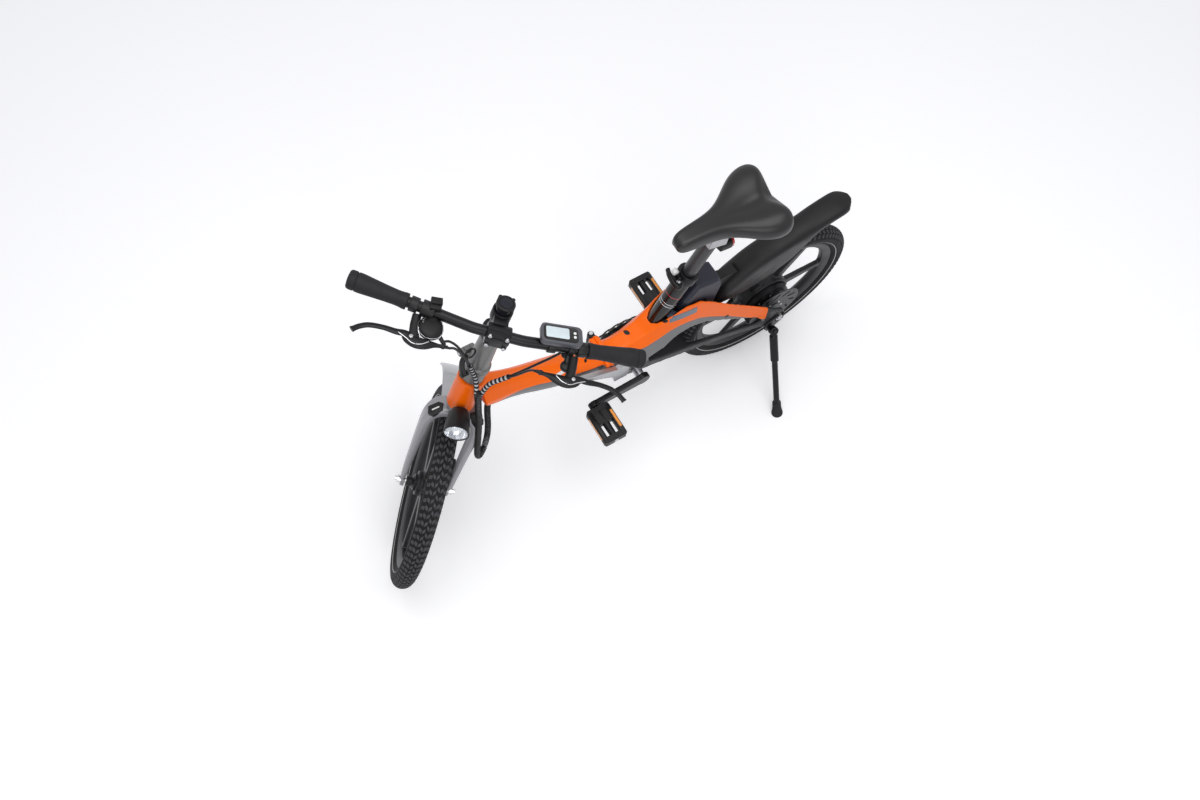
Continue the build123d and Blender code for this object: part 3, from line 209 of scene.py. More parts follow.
# Black anodised aluminium on clamps, cranks and levers: dark with a silky edge of light.
anodised_black = finish("black_anodised_aluminium", "101113", 0.33, metallic=0.3, ior=1.4,
                        mottle=(25, 0.10),
                        grain=(0.5, 0.01))
# The sliding tube's anodising: blue-black, with one long streak.
inner_stem_paint = finish("blue_black_anodised_tube", "22242C", 0.28, metallic=0.4, ior=1.4,
                          grain=(0.5, 0.01))
# Powder coat on the cast wheels: satin, faintly orange-peeled.
cast_black = rubber("satin_powder_coat", "17181A", 0.42, ior=1.4, mottle=(40, 0.08), grain=(1.2, 0.03))
# Paint on the motor's shell: a shade smoother than the wheels.
motor_black = rubber("motor_shell_paint", "111214", 0.38, ior=1.38, mottle=(30, 0.08), grain=(1.0, 0.02))
# Tyre rubber: matt and dusty, with a thin light band moulded round each sidewall.
tyre_rubber = rubber("tyre_rubber", "151517", 0.78, ior=1.35, mottle=(35, 0.14), grain=(0.9, 0.06),
                     second="B9B8B4", mask=line_mask("ring", SIDEWALL_LINE))
# The same rubber on the tread blocks, made paler as a painted highlight on their tops, so the grooves read dark.
tread_rubber_painted_highlight = rubber("tread_rubber_painted_highlight", "47474A", 0.82, ior=1.35, mottle=(20, 0.18), grain=(0.7, 0.08))
# Textured ABS on the mudguard and small housings: black with a soft, wide highlight.
black_abs = rubber("black_textured_abs", "0D0D0F", 0.46, mottle=(50, 0.10), grain=(0.9, 0.03))
# Glass-filled nylon on clamps and pedals: a little drier than the ABS.
black_nylon = rubber("glass_filled_nylon", "0E0E10", 0.44, ior=1.38, mottle=(20, 0.10), grain=(0.6, 0.03))
# The battery case's ABS: blue-grey in the light.
case_abs = rubber("blue_grey_abs", "262833", 0.46, ior=1.38, mottle=(45, 0.08), grain=(0.8, 0.03))
# Vinyl over foam: a leather-like pebble that breaks up a soft highlight.
saddle_vinyl = rubber("saddle_vinyl", "0E0E10", 0.34, ior=1.46, mottle=(60, 0.08), grain=(1.4, 0.08),
                      pebbled=True)
# Soft grip rubber: dull, with hardly a highlight.
grip_rubber = rubber("grip_rubber", "1A1A1D", 0.66, mottle=(25, 0.08), grain=(0.9, 0.06), pebbled=True)
# The stand's foot: worn, dry rubber.
stand_rubber = rubber("stand_foot_rubber", "222326", 0.75, mottle=(12, 0.12), grain=(0.8, 0.06))
# Cable sheath and spiral wrap: smooth black plastic with a thin line of light.
cable_sheath = rubber("cable_sheath", "0C0C0E", 0.45, ior=1.38, mottle=(30, 0.05), grain=(0.5, 0.01))
# What shows between the spiral's turns: pale, uneven cables.
wrap_inside = finish("wrapped_cables", "C4C5C9", 0.5, mottle=(8, 0.2), grain=(0.5, 0.01))
# Zinc plate on bolts and pins: bright, with a fine scatter.
steel = finish("zinc_plated_steel", "B9BABD", 0.30, metallic=1.0, mottle=(8, 0.12), grain=(0.35, 0.012))
# Oiled steel of the chain: patchy, brown-grey glints.
chain_steel = finish("oiled_chain_steel", "5F5C58", 0.38, metallic=1.0, mottle=(9, 0.30), grain=(0.5, 0.02))
# The brake discs: metal ground fine, its colour darkened to paint the shade the wheels cast on them.
shaded_brake_disc = finish("brake_disc_painted_shade", "2E2F31", 0.42, metallic=0.8, mottle=(5, 0.12), grain=(0.3, 0.01))
# Polished aluminium on rings and skewers: the brightest lines on the bicycle.
polished = finish("polished_aluminium", "CFCFD1", 0.18, metallic=1.0, mottle=(20, 0.06), grain=(0.6, 0.006))
# The seat post's anodising: dark grey, with a satin streak down the tube.
post_anodised = finish("grey_anodised_aluminium", "444344", 0.32, metallic=0.5, mottle=(30, 0.06),
                       grain=(0.4, 0.008))
# Silver lacquer on the front mudguard and the latch: light, with a clear edge.
silver_paint = finish("silver_lacquer", "A7A8AB", 0.30, metallic=0.8, coat=0.2, mottle=(40, 0.05),
                      grain=(0.8, 0.008))
# Moulded reflectors: a clear colour over a broken, glinting surface.
amber_lens = finish("amber_reflector", "F2951B", 0.16, coat=0.6, mottle=(4, 0.15), grain=(2.5, 0.25),
                    pebbled=True)
red_lens = finish("red_lens", "C8121A", 0.12, coat=0.7, mottle=(6, 0.10), grain=(2.5, 0.20), pebbled=True)
# White print and blank films: flat colour, smooth to the eye.
white_print = finish("white_print", "E9E9E7", 0.4, mottle=(20, 0.03), grain=(0.8, 0.005))
blank_label = finish("blank_label_film", "5A6472", 0.28, coat=0.4, mottle=(14, 0.05), grain=(0.8, 0.004))
# The display: a pale screen under a hard, glassy coat in a grey frame.
screen_glass = finish("pale_liquid_crystal_screen", "D3E0E4", 0.12, coat=0.9, mottle=(15, 0.04),
                      grain=(0.8, 0.002))
bezel_grey = finish("display_bezel_abs", "4B4D53", 0.34, mottle=(20, 0.05), grain=(0.6, 0.02))
# The lamp's bowl and lens: a faceted mirror behind water-clear plastic.
reflector_silver = finish("vacuum_metallised_reflector", "E4E5E8", 0.08, metallic=1.0, mottle=(10, 0.06),
                          grain=(3.0, 0.15), pebbled=True)
lamp_glass = finish("clear_lamp_lens", "F4F6F8", 0.03, ior=1.49, mottle=(20, 0.01), grain=(3.0, 0.01))
lamp_glass.node_tree.nodes["Principled BSDF"].inputs["Transmission Weight"].default_value = 1.0

# ------------------------------------------------------------------ forms


class Form:
    """Points and faces in millimetres, gathered for one piece, each face with its material."""

    def __init__(self):
        self.mesh = bmesh.new()
        self.materials = []

    def paint(self, faces, material):
        """Gives faces a material, in a slot of its own."""
        if material not in self.materials:
            self.materials.append(material)
        for face in faces:
            face.material_index = self.materials.index(material)

    def rings(self, rings, material, looped=False):
        """Rings of as many points, each joined to the next, and capped unless they loop."""
        made = [[self.mesh.verts.new(point) for point in ring] for ring in rings]
        count = len(made[0])
        faces = []
        for near, far in list(zip(made, made[1:])) + ([(made[-1], made[0])] if looped else []):
            for i in range(count):
                j = (i + 1) % count
                faces.append(self.mesh.faces.new((near[i], near[j], far[j], far[i])))
        if not looped:
            faces += [self.mesh.faces.new(made[0][::-1]), self.mesh.faces.new(made[-1])]
        self.paint(faces, material)
        return self

    def turned(self, profile, material, origin=(0, 0, 0), axis=(0, 1, 0), steps=64, looped=False):
        """A profile of (radius, distance along the axis) turned on a lathe."""
        axis = Vector(axis).normalized()
        side = axis.orthogonal().normalized()
        other = axis.cross(side)
        rings = []
        for radius, along in profile:
            ring = [Vector(origin) + axis * along
                    + (side * cos(2 * pi * i / steps) + other * sin(2 * pi * i / steps)) * max(radius, 0.01)
                    for i in range(steps)]
            rings.append(ring)
        return self.rings(rings, material, looped)

    def tube(self, points, radii, material, steps=16, flat=1.0, up=None):
        """A round or flattened rod through the points, its radius given at each."""
        points = [Vector(point) for point in points]
        if not hasattr(radii, "__len__"):
            radii = [radii] * len(points)
        rings = []
        side = None
        for i, point in enumerate(points):
            along = (points[min(i + 1, len(points) - 1)] - points[max(i - 1, 0)]).normalized()
            if side is None:
                side = Vector(up) if up else along.orthogonal()
            side = (side - along * side.dot(along)).normalized()
            other = along.cross(side)
            turns = [2 * pi * k / steps for k in range(steps)]
            rings.append([point + (side * cos(turn) * flat + other * sin(turn)) * radii[i] for turn in turns])
        return self.rings(rings, material)

    def plate(self, outline, low, high, material, axes="xz"):
        """A flat outline given thickness between two heights along the third axis."""
        spots = {"xz": lambda a, b, c: (a, c, b), "xy": lambda a, b, c: (a, b, c), "yz": lambda a, b,
                 c: (c, a, b)}
        spot = spots[axes]
        return self.rings([[spot(a, b, low) for a, b in outline], [spot(a, b, high) for a, b in outline]],
                          material)

    def block(self, centre, size, material, turn=None):
        """A rectangular block, optionally turned."""
        turned = turn.to_4x4() if turn else Matrix()
        matrix = Matrix.Translation(centre) @ turned @ Matrix.Diagonal((*size, 1))
        made = bmesh.ops.create_cube(self.mesh, size=1.0, matrix=matrix)
        self.paint({face for vert in made["verts"] for face in vert.link_faces}, material)
        return self


def rounded(width, height, radius, steps=5, centre=(0, 0)):
    """A rectangle with round corners, as an outline."""
    outline = []
    for corner, (sx, sy) in enumerate(((1, 1), (-1, 1), (-1, -1), (1, -1))):
        for i in range(steps + 1):
            angle = pi / 2 * (corner + i / steps)
            outline.append((centre[0] + sx * (width / 2 - radius) + radius * cos(angle),
                            centre[1] + sy * (height / 2 - radius) + radius * sin(angle)))
    return outline


def bow(points, count=40):
    """A smooth line through a few points."""
    points = [Vector(point) for point in points]
    ends = [points[0] * 2 - points[1]] + points + [points[-1] * 2 - points[-2]]
    line = []
    for i in range(count):
        place = i / (count - 1) * (len(points) - 1)
        k = min(int(place), len(points) - 2)
        t = place - k
        a, b, c, d = ends[k:k + 4]
        line.append(0.5 * ((2 * b) + (c - a) * t + (2 * a - 5 * b + 4 * c - d) * t ** 2
                           + (3 * b - a - 3 * c + d) * t ** 3))
    return line


def settled(holder):
    """A plain mesh of an object with its modifiers done, the object then deleted."""
    mesh = bpy.data.meshes.new_from_object(holder.evaluated_get(bpy.context.evaluated_depsgraph_get()))
    old = holder.data
    bpy.data.objects.remove(holder)
    if isinstance(old, bpy.types.Mesh):
        bpy.data.meshes.remove(old)
    return mesh


def holder_of(mesh, name="holder"):
    """An object in the scene that holds a mesh or a curve."""
    made = bpy.data.objects.new(name, mesh)
    bpy.context.scene.collection.objects.link(made)
    return made


def place_piece(name, mesh, place, body, stands_for=(), sharp=38, marks=None, turn_out=True):
    """Puts a mesh in mm where it belongs, notes its marks, and lets it ride on its body."""
    for label, value in (marks or {}).items():
        attribute = mesh.attributes.new(label, "FLOAT", "POINT")
        for i, vert in enumerate(mesh.vertices):
            attribute.data[i].value = value(vert.co)
    mesh.transform(place)
    if turn_out:
        work = bmesh.new()
        work.from_mesh(mesh)
        bmesh.ops.recalc_face_normals(work, faces=work.faces)
        work.to_mesh(mesh)
        work.free()
    mesh.shade_smooth()
    mesh.set_sharp_from_angle(angle=radians(sharp))
    piece = holder_of(mesh, name)
    mesh.name = name
    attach(piece, body)
    if stands_for:
        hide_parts(*([stands_for] if isinstance(stands_for, str) else stands_for))
    return piece


def mesh_of(form, bevel=0.0, smooth=0, merge=0.01, segments=2):
    """A form's mesh, with its edges eased and then subdivided."""
    bmesh.ops.remove_doubles(form.mesh, verts=form.mesh.verts, dist=merge)
    bmesh.ops.recalc_face_normals(form.mesh, faces=form.mesh.faces)
    mesh = bpy.data.meshes.new("form")
    form.mesh.to_mesh(mesh)
    form.mesh.free()
    for material in form.materials:
        mesh.materials.append(material)
    holder = holder_of(mesh)
    if bevel:
        easing = holder.modifiers.new("eased edges", "BEVEL")
        easing.width = bevel
        easing.segments = segments
        easing.limit_method = "ANGLE"
        easing.angle_limit = radians(35)
        easing.use_clamp_overlap = True
    if smooth:
        finer = holder.modifiers.new("smooth", "SUBSURF")
        finer.levels = finer.render_levels = smooth
    return settled(holder)


def build(name, form, place, body, stands_for=(), bevel=0.6, smooth=0, sharp=38, marks=None, segments=2):
    """A form's mesh, eased and put where it belongs."""
    return place_piece(name, mesh_of(form, bevel, smooth, segments=segments), place, body, stands_for,
                       sharp, marks)


def softened(node, place, material, voxel, rounds, marks=None):
    """A copy of a solid with its edges and facets softened, as a casting or moulding has them."""
    mesh = frame["nodes"][node].data.copy()
    mesh.transform(place.inverted())
    mesh.materials.clear()
    work = bmesh.new()
    work.from_mesh(mesh)
    bmesh.ops.remove_doubles(work, verts=work.verts, dist=0.01)
    work.to_mesh(mesh)
    work.free()
    holder = holder_of(mesh)
    remesh = holder.modifiers.new("even skin", "REMESH")
    remesh.mode = "VOXEL"
    remesh.voxel_size = voxel
    ease = holder.modifiers.new("eased", "SMOOTH")
    ease.iterations = rounds
    ease.factor = 0.5
    mesh = settled(holder)
    mesh.materials.append(material)
    body = next(b for b, names in frame["record"]["behaviour"]["bodies"].items() if node in names)
    return place_piece(node + "_shell", mesh, place, body, node, 60, marks, turn_out=False)


RAY_START, RAY_REACH = 0.08, 0.2  # metres: how far out a patch's rays start, and how far they look


def patch(name, shell, body, centre, side, outline, material, proud):
    """A thin patch on a shell of the frame, its outline (along, up) seen from one side of it."""
    work = bmesh.new()
    work.from_mesh(shell.data)
    surface = BVHTree.FromBMesh(work)
    work.free()
    out = (upright.to_3x3() @ Vector(side)).normalized()
    tilt = Vector((0, -side[2], side[1])).normalized()
    over = tilt.cross(Vector(side).normalized())
    back = upright.inverted()
    fine = []
    for (a, b), (c, d) in zip(outline, outline[1:] + outline[:1]):
        steps = max(1, round(hypot(c - a, d - b) / 4))
        fine += [(a + (c - a) * k / steps, b + (d - b) * k / steps) for k in range(steps)]

    def laid(share, height):
        """The outline at a share of its size, laid on the shell at a height over it."""
        ring = []
        for a, b in fine:
            start = upright @ (Vector(centre) + over * a * share + tilt * b * share) + out * RAY_START
            spot, normal, _, _ = surface.ray_cast(start, -out, RAY_REACH)
            ring.append(back @ (spot + normal * height * MM) if spot else None)
        known = [i for i, point in enumerate(ring) if point]
        return [point or ring[min(known, key=lambda k: abs(k - i))] for i, point in enumerate(ring)]

    shape = Form()
    shape.rings([laid(0.02, -0.4), laid(1.0, -0.4), laid(1.0, proud)]
                + [laid(k / 10, proud) for k in range(9, 0, -1)] + [laid(0.02, proud)], material)
    build(name, shape, upright, body, bevel=0)


def dress(material, *nodes):
    """Solids that keep their CAD shape get their material."""
    for node in nodes:
        mesh = frame["nodes"][node].data
        mesh.materials.clear()
        mesh.materials.append(material)


# ------------------------------------------------------------------ repeats


def repeat_tree(name, inputs):
    """A Geometry Nodes tree with named inputs, and their sockets."""
    tree = bpy.data.node_groups.new(name, "GeometryNodeTree")
    for label, kind in (("Geometry", "Geometry"), *inputs, ("Material", "Material")):
        tree.interface.new_socket(label, in_out="INPUT", socket_type="NodeSocket" + kind)
    tree.interface.new_socket("Geometry", in_out="OUTPUT", socket_type="NodeSocketGeometry")
    return tree, add(tree, "NodeGroupInput").outputs


def finish_tree(tree, points, thing, turn, material):
    """The end of a tree: a thing on each point, as real mesh in its material."""
    copies = add(tree, "GeometryNodeInstanceOnPoints", {"Points": points, "Instance": thing,
                                                        "Rotation": turn})
    solid = add(tree, "GeometryNodeRealizeInstances", {"Geometry": copies.outputs[0]}).outputs[0]
    coated = add(tree, "GeometryNodeSetMaterial", {"Geometry": solid, "Material": material}).outputs[0]
    add(tree, "NodeGroupOutput", {"Geometry": coated})
    return tree


def round_axle_tree():
    """Geometry Nodes that repeat what they are given round the Y axis."""
    tree, given = repeat_tree("repeat_round_an_axle", [("Count", "Int")])
    points = add(tree, "GeometryNodePoints", {"Count": given["Count"]}).outputs[0]
    index = add(tree, "GeometryNodeInputIndex").outputs[0]
    share = add(tree, "ShaderNodeMath", {0: index, 1: given["Count"]}, operation="DIVIDE").outputs[0]
    angle = add(tree, "ShaderNodeMath", {0: share, 1: 2 * pi}, operation="MULTIPLY").outputs[0]
    turn = add(tree, "ShaderNodeCombineXYZ", {"Y": angle}).outputs[0]
    return finish_tree(tree, points, given["Geometry"], turn, given["Material"])


def along_route_tree():
    """Geometry Nodes that repeat a thing along a route, turned to follow it."""
    tree, given = repeat_tree("repeat_along_a_route", [("Thing", "Object"), ("Spacing", "Float")])
    spots = add(tree, "GeometryNodeCurveToPoints", {"Curve": given["Geometry"], "Length": given["Spacing"]},
                mode="LENGTH").outputs
    thing = add(tree, "GeometryNodeObjectInfo", {"Object": given["Thing"]}).outputs["Geometry"]
    return finish_tree(tree, spots["Points"], thing, spots["Rotation"], given["Material"])


round_axle = round_axle_tree()
along_route = along_route_tree()


def repeated(holder, tree, **values):
    """The mesh that a tree makes of an object, with its named inputs set."""
    modifier = holder.modifiers.new("repeat", "NODES")
    modifier.node_group = tree
    ids = {item.name: item.identifier for item in tree.interface.items_tree if item.in_out == "INPUT"}
    for name, value in values.items():
        modifier[ids[name]] = value
    return settled(holder)


def ring_of(form, count, material, bevel):
    """A form's mesh, repeated round an axle."""
    return repeated(holder_of(mesh_of(form, bevel)), round_axle, Count=count, Material=material)


# ------------------------------------------------------------------ wheels
TYRE_RING = 228.5  # radius of the middle of the tyre's section
TYRE_SECTION = 24.5
TREAD_DEPTH = 3.0
BEAD_HALF = 12.8
BEAD_FOOT = 203.2
PITCHES = 88


def on_tread(around, over, height):
    """A point of the tread: mm around the crown, mm over the section, mm above its middle."""
    slope = over / TYRE_SECTION
    turn = around / (TYRE_RING + TYRE_SECTION)
    radius = TYRE_RING + height * cos(slope)
    return (radius * sin(turn), height * sin(slope), radius * cos(turn))


TREAD_PITCH = 2 * pi * (TYRE_RING + TYRE_SECTION) / PITCHES
# Tread blocks as (around, over) outlines in mm: a zigzag pair at the crown, an angled row
# beside it and a square row on the shoulder.
TREAD = [[(0, 0.9), (8.6, 0.9), (14, 7.0), (5.4, 7.0)], [(5.5, 9.2), (14.2, 9.2), (9.6, 16.6), (1, 16.6)],
         [(5, 18.8), (13.6, 18.8), (15.2, 28.5), (6.6, 28.5)]]


def make_tyre(name, place, body, node):
    carcass = Form()
    profile = [(BEAD_FOOT, -BEAD_HALF), (208.0, -BEAD_HALF - 0.6)]
    for i in range(27):
        slope = radians(-147 + 294 * i / 26)
        over = abs(slope) * TYRE_SECTION
        height = TYRE_SECTION - (TREAD_DEPTH if over < 30 else 0.25)
        profile.append((TYRE_RING + height * cos(slope), height * sin(slope)))
    profile += [(208.0, BEAD_HALF + 0.6), (BEAD_FOOT, BEAD_HALF), (BEAD_FOOT, BEAD_HALF - 3),
                (BEAD_FOOT, 3 - BEAD_HALF)]
    carcass.turned(profile, tyre_rubber, steps=144, looped=True)
    build(name + "_tyre_carcass", carcass, place, body, node, bevel=0,
          marks={"ring": lambda co: hypot(co.x, co.z)})
    # The tread blocks, in the paler rubber that paints a highlight on the tread.
    block = Form()
    for side in (1, -1):
        for outline in TREAD:
            shift = 0 if side > 0 else TREAD_PITCH / 2
            spots = [(around + shift, side * over) for around, over in outline]
            block.rings([[on_tread(u, v, height) for u, v in spots]
                         for height in (TYRE_SECTION - TREAD_DEPTH - 0.5, TYRE_SECTION - 0.05)],
                        tread_rubber_painted_highlight)
    place_piece(name + "_tyre_tread", ring_of(block, PITCHES, tread_rubber_painted_highlight, bevel=0.35), place, body)


def wheel_bolts(name, place, body, count, radius, side, low, high, size):
    """A ring of button-head screws round a wheel's axle."""
    bolt = Form()
    heads = [(0, high), (size * 0.45, high), (size * 0.85, high - 0.8), (size, high - 2.2), (size, low)]
    bolt.turned([(0, low)] + [(r, h) for r, h in reversed(heads)], steel, (radius, 0, 0), (0, side, 0),
                steps=12)
    place_piece(name, ring_of(bolt, count, steel, bevel=0), place, body)


make_tyre("rear", rear_wheel, "rear_wheel", "rear_tyre")
make_tyre("front", front_wheel, "front_wheel", "front_tyre")
softened("rear_wheel_casting", rear_wheel, cast_black, 2.3, 4)
softened("front_wheel_casting", front_wheel, cast_black, 2.3, 4)
dress(motor_black, "rear_hub_motor")
dress(cast_black, "front_hub")
# The discs' steel is darkened here: painted shade from the wheels.
dress(shaded_brake_disc, "rear_brake_disc", "front_brake_disc")
wheel_bolts("rear_disc_bolts", rear_wheel, "rear_wheel", 6, 27, 1, 50, 55.5, 3.6)
wheel_bolts("front_disc_bolts", front_wheel, "front_wheel", 6, 26, 1, 36, 41.8, 3.6)
wheel_bolts("motor_cover_screws", rear_wheel, "rear_wheel", 9, 50, 1, 34, 39.6, 2.6)

cogs = Form()
for index, radius in enumerate([28.5, 32.5, 36.5, 40.6, 44.7, 48.7, 52.8]):
    middle = -28.0 - (6 - index) * 5.0
    teeth = round(2 * pi * radius / 12.7)
    outline = []
    for tooth in range(teeth * 6):
        lift = (-3.2, -3.2, -1.4, 0.0, 0.0, -1.4)[tooth % 6]
        angle = 2 * pi * tooth / (teeth * 6)
        outline.append(((radius + lift) * cos(angle), (radius + lift) * sin(angle)))
    cogs.plate(outline, middle - 0.9, middle + 0.9, chain_steel)
cogs.turned([(0.01, -60), (22, -60), (22, -28), (0.01, -28)], anodised_black, steps=48)
build("cassette_sprockets", cogs, rear_wheel, "rear_wheel", "cassette", bevel=0.2, segments=1)

# ------------------------------------------------------------------ frames


def level(stations, x):
    """The height that a list of (x, height) gives at x."""
    stations = sorted(stations)
    if x <= stations[0][0]:
        return stations[0][1]
    for (low_x, low), (high_x, high) in zip(stations, stations[1:]):
        if x <= high_x:
            return low + (high - low) * (x - low_x) / (high_x - low_x)
    (low_x, low), (high_x, high) = stations[-2:]
    return high + (high - low) * (x - high_x) / (high_x - low_x)


REAR_CREASE = [(505, 413), (470, 402), (436, 400), (400, 407), (368, 422), (342, 440), (318, 447),
               (297, 449),
               (262, 442), (232, 425), (171, 380), (100, 318), (54, 276), (-30, 276)]
BEAM_CREASE = [(505, 411), (509, 413), (560, 434), (655, 478), (700, 503), (730, 517), (745, 523),
               (795, 535), (829, 537),
               (850, 545)]
rear_shell = softened("rear_frame", upright, frame_paint, 2.5, 5,
                      marks={"flank": lambda co: level(REAR_CREASE, co.x) - co.z})
front_shell = softened("front_frame", upright, frame_paint, 2.3, 5,
                       marks={"flank": lambda co: level(BEAM_CREASE, co.x) - co.z})


def repaint(shell, place, material, cuts, inside):
    """Cuts a shell's faces at planes, and gives those whose middle is inside another material."""
    shell.data.materials.append(material)
    index = len(shell.data.materials) - 1
    work = bmesh.new()
    work.from_mesh(shell.data)
    for spot, normal in cuts:
        bmesh.ops.bisect_plane(work, geom=work.verts[:] + work.edges[:] + work.faces[:],
                               plane_co=place @ Vector(spot),
                               plane_no=(place.to_3x3() @ Vector(normal)).normalized())
    back = place.inverted()
    for face in work.faces:
        if inside(back @ face.calc_center_median()):
            face.material_index = index
    work.to_mesh(shell.data)
    work.free()


# The dropouts, the lower stays and the hinge are black.
STAY_MIDDLE = [(48, 262), (72, 279), (110, 290), (150, 303), (235, 338), (314, 346), (384, 318)]
repaint(rear_shell, upright, dropout_paint, [((45, 0, 0), (1, 0, 0)), ((392, 0, 0), (1, 0, 0))],
        lambda co: co.x < 45 or (co.x < 392 and co.z < level(STAY_MIDDLE, co.x)))
for shell in (rear_shell, front_shell):
    repaint(shell, upright, black_nylon, [((0, -40, 0), (0, 1, 0))],
            lambda co: co.y < -40)

RECESS = [(240, 36), (279, 34), (328, 30), (350, 25), (366, 18), (376, 8)]
RECESS_TOP = [(240, 492), (262, 505), (297, 508), (318, 499), (342, 483), (368, 460), (376, 456)]
rim = [(x, y) for x, y in RECESS] + [(x, -y) for x, y in reversed(RECESS)]


def rim_ring(inset, height):
    """The recess's outline, drawn in and laid at a height, or along its top where that is 0."""
    middle = (300, 0)
    shrink = 1 - inset / 50
    return [(middle[0] + (x - middle[0]) * shrink, y * shrink,
             height if height else level(RECESS_TOP, x)) for x, y in rim]


liner = Form()
liner.rings([rim_ring(0.7, 433.0), rim_ring(0.7, 0), rim_ring(3.0, 0), rim_ring(3.0, 434.5)], black_abs)
build("seat_recess_liner", liner, upright, "rear_frame", bevel=0.5)

# ------------------------------------------------------------------ fork and mudguards
# Each arm of the fork: the middle of the section, its width along the bicycle and its thickness.
FORK_ARM = [((-2, 0, 300), 50, 30), ((-1, 22, 301), 50, 30), ((3, 40, 296), 48, 29), ((8, 52, 283), 44, 27),
            ((12, 58, 258), 39, 24), ((14, 58.5, 225), 36, 22), ((18, 57.5, 150), 32, 19.5),
            ((27, 57.5, 80), 27, 17),
            ((34, 57.2, 36), 24, 14), ((36.2, 57, 10), 24, 12)]
fork = Form()
for side in (1, -1):
    spots = [Vector((x, side * y, z)) for (x, y, z), _, _ in FORK_ARM]
    rings = []
    for i, (_, wide, thick) in enumerate(FORK_ARM):
        along = (spots[min(i + 1, len(spots) - 1)] - spots[max(i - 1, 0)]).normalized()
        ahead_side = (Vector((1, 0, 0)) - along * along.x).normalized()
        over = along.cross(ahead_side)
        rings.append([spots[i] + ahead_side * a + over * b for a,
                      b in rounded(wide, thick, min(wide, thick) * 0.36, 4)])
    fork.rings(rings, grey_paint)
place_piece("fork_arms", mesh_of(fork, 0, 1), steering, "fork", "fork", 60)
column = Form()
column.turned([(0.01, 296), (30, 297), (28.5, 304), (24.5, 312), (23.5, 320), (23.5, 331.4), (14.2, 331.6),
               (14.2, 470), (0.01, 470)],
              grey_paint, axis=UP, steps=56)
for side in (1, -1):
    column.turned([(6.3, side * 50.2), (14.5, side * 50.2), (15, side * 51), (15, side * 58),
                   (14.2, side * 58.8), (6.3, side * 58.8)],
                  grey_paint, (FORK_OFFSET, 0, 0), (0, 1, 0), steps=40, looped=True)
build("fork_column", column, steering, "fork", bevel=0.3)
# Black rubber bumpers let into the shoulders, each with a white dash.
for side in (1, -1):
    slope = Vector((0.456, side * 0.78, -0.43)).normalized()
    out = Vector((0.25, side * 0.45, 0.86))
    out = (out - slope * out.dot(slope)).normalized()
    lie = Matrix((slope, out.cross(slope), out)).transposed().to_4x4()
    lie.translation = Vector((17, side * 45, 303.5)) + out * 3.5
    bumper = Form()
    bumper.plate([(-20, -4), (-13, 10), (12, 13), (20, 4), (13, -12), (-12, -12)], -9, 2.5, black_nylon,
                 axes="xy")
    bumper.plate(rounded(18, 3.6, 1.7), 1, 3.1, white_print, axes="xy")
    bmesh.ops.transform(bumper.mesh, matrix=lie, verts=bumper.mesh.verts)
    build(f"shoulder_bumper_{side + 1}", bumper, steering, "fork", bevel=0.8)
dress(polished, "front_axle")
dress(steel, "rear_axle")


FRONT_GUARD_RADIUS = 267.0
guard = Form()
rings = []
for i in range(33):
    share = i / 32
    turn = radians(98 + 56 * share)
    reach = FRONT_GUARD_RADIUS + 28 * min(1, share * 2.3) ** 1.2
    near_end = min(1.0, (1 - share) * 7 + 0.02, share * 9 + 0.5)
    half = (29.5 + 8.0 * min(1, share * 2.2)) * sqrt(1 - (1 - near_end) ** 2)
    centre = Vector((FORK_OFFSET, 0, 0))
    out = Vector((cos(turn), 0, sin(turn)))
    arch = [(-1.0, -5.0), (-0.94, -1.6), (-0.75, 0.2), (-0.4, 1.2), (0, 1.6), (0.4, 1.2), (0.75, 0.2),
            (0.94, -1.6), (1.0, -5.0)]
    arch = [(y, 1.6 + (height - 1.6) * near_end) for y, height in arch]
    outer = [centre + out * (reach + height) + Vector((0, half * y, 0)) for y, height in arch]
    inner = [centre + out * (reach + height - 2.2) + Vector((0, half * y * 0.96, 0)) for y,
             height in reversed(arch)]
    rings.append(outer + inner)
guard.rings(rings, silver_paint)
guard.block((-10, 0, 275), (14, 22, 22), anodised_black)
build("front_mudguard", guard, steering, "fork", "front_fender", bevel=0.3)

RIDGE = [(194, 433), (178, 458), (160, 478), (108, 516), (46, 536), (-60, 562), (-132, 578), (-176, 576)]
HEM = [(187, 421), (150, 415), (120, 414), (54, 430), (-10, 462), (-48, 506), (-80, 542), (-150, 562),
       (-172, 562)]
ridge = bow([(x, 0, z) for x, z in RIDGE], 56)
hem = bow([(x, 0, z) for x, z in HEM], 56)
mudguard = Form()
rings = []
for top, low in zip(ridge, hem):
    half = 33.0 if top.x > -128 else 33.0 * sqrt(max(0.03, 1 - ((-128 - top.x) / 50.0) ** 2))
    fall = low - top
    crown = [(-1.0, 26), (-0.97, 17), (-0.88, 10), (-0.7, 4.5), (-0.4, 1.0), (0, 0), (0.4, 1.0),
             (0.7, 4.5), (0.88, 10),
             (0.97, 17), (1.0, 26)]
    share = min(1.0, fall.length / 40)
    outer = [(-1.0, 1.0)] + [(y, depth * share * (half / 33.0) / fall.length) for y,
                             depth in crown] + [(1.0, 1.0)]
    ring = [top + fall * depth + Vector((0, half * y, 0)) for y, depth in outer]
    thin = 2.4
    ring += [top + fall.normalized() * (fall.length * depth + (thin if depth < 0.9 else 0))
             + Vector((0, (half - thin) * y, 0)) for y, depth in reversed(outer)]
    rings.append(ring)
mudguard.rings(rings, black_abs)
build("rear_mudguard", mudguard, upright, "rear_frame", "rear_fender", bevel=0.5, sharp=45)
softened("battery_case", upright, case_abs, 1.8, 3)
dress(black_nylon, "fender_bracket")

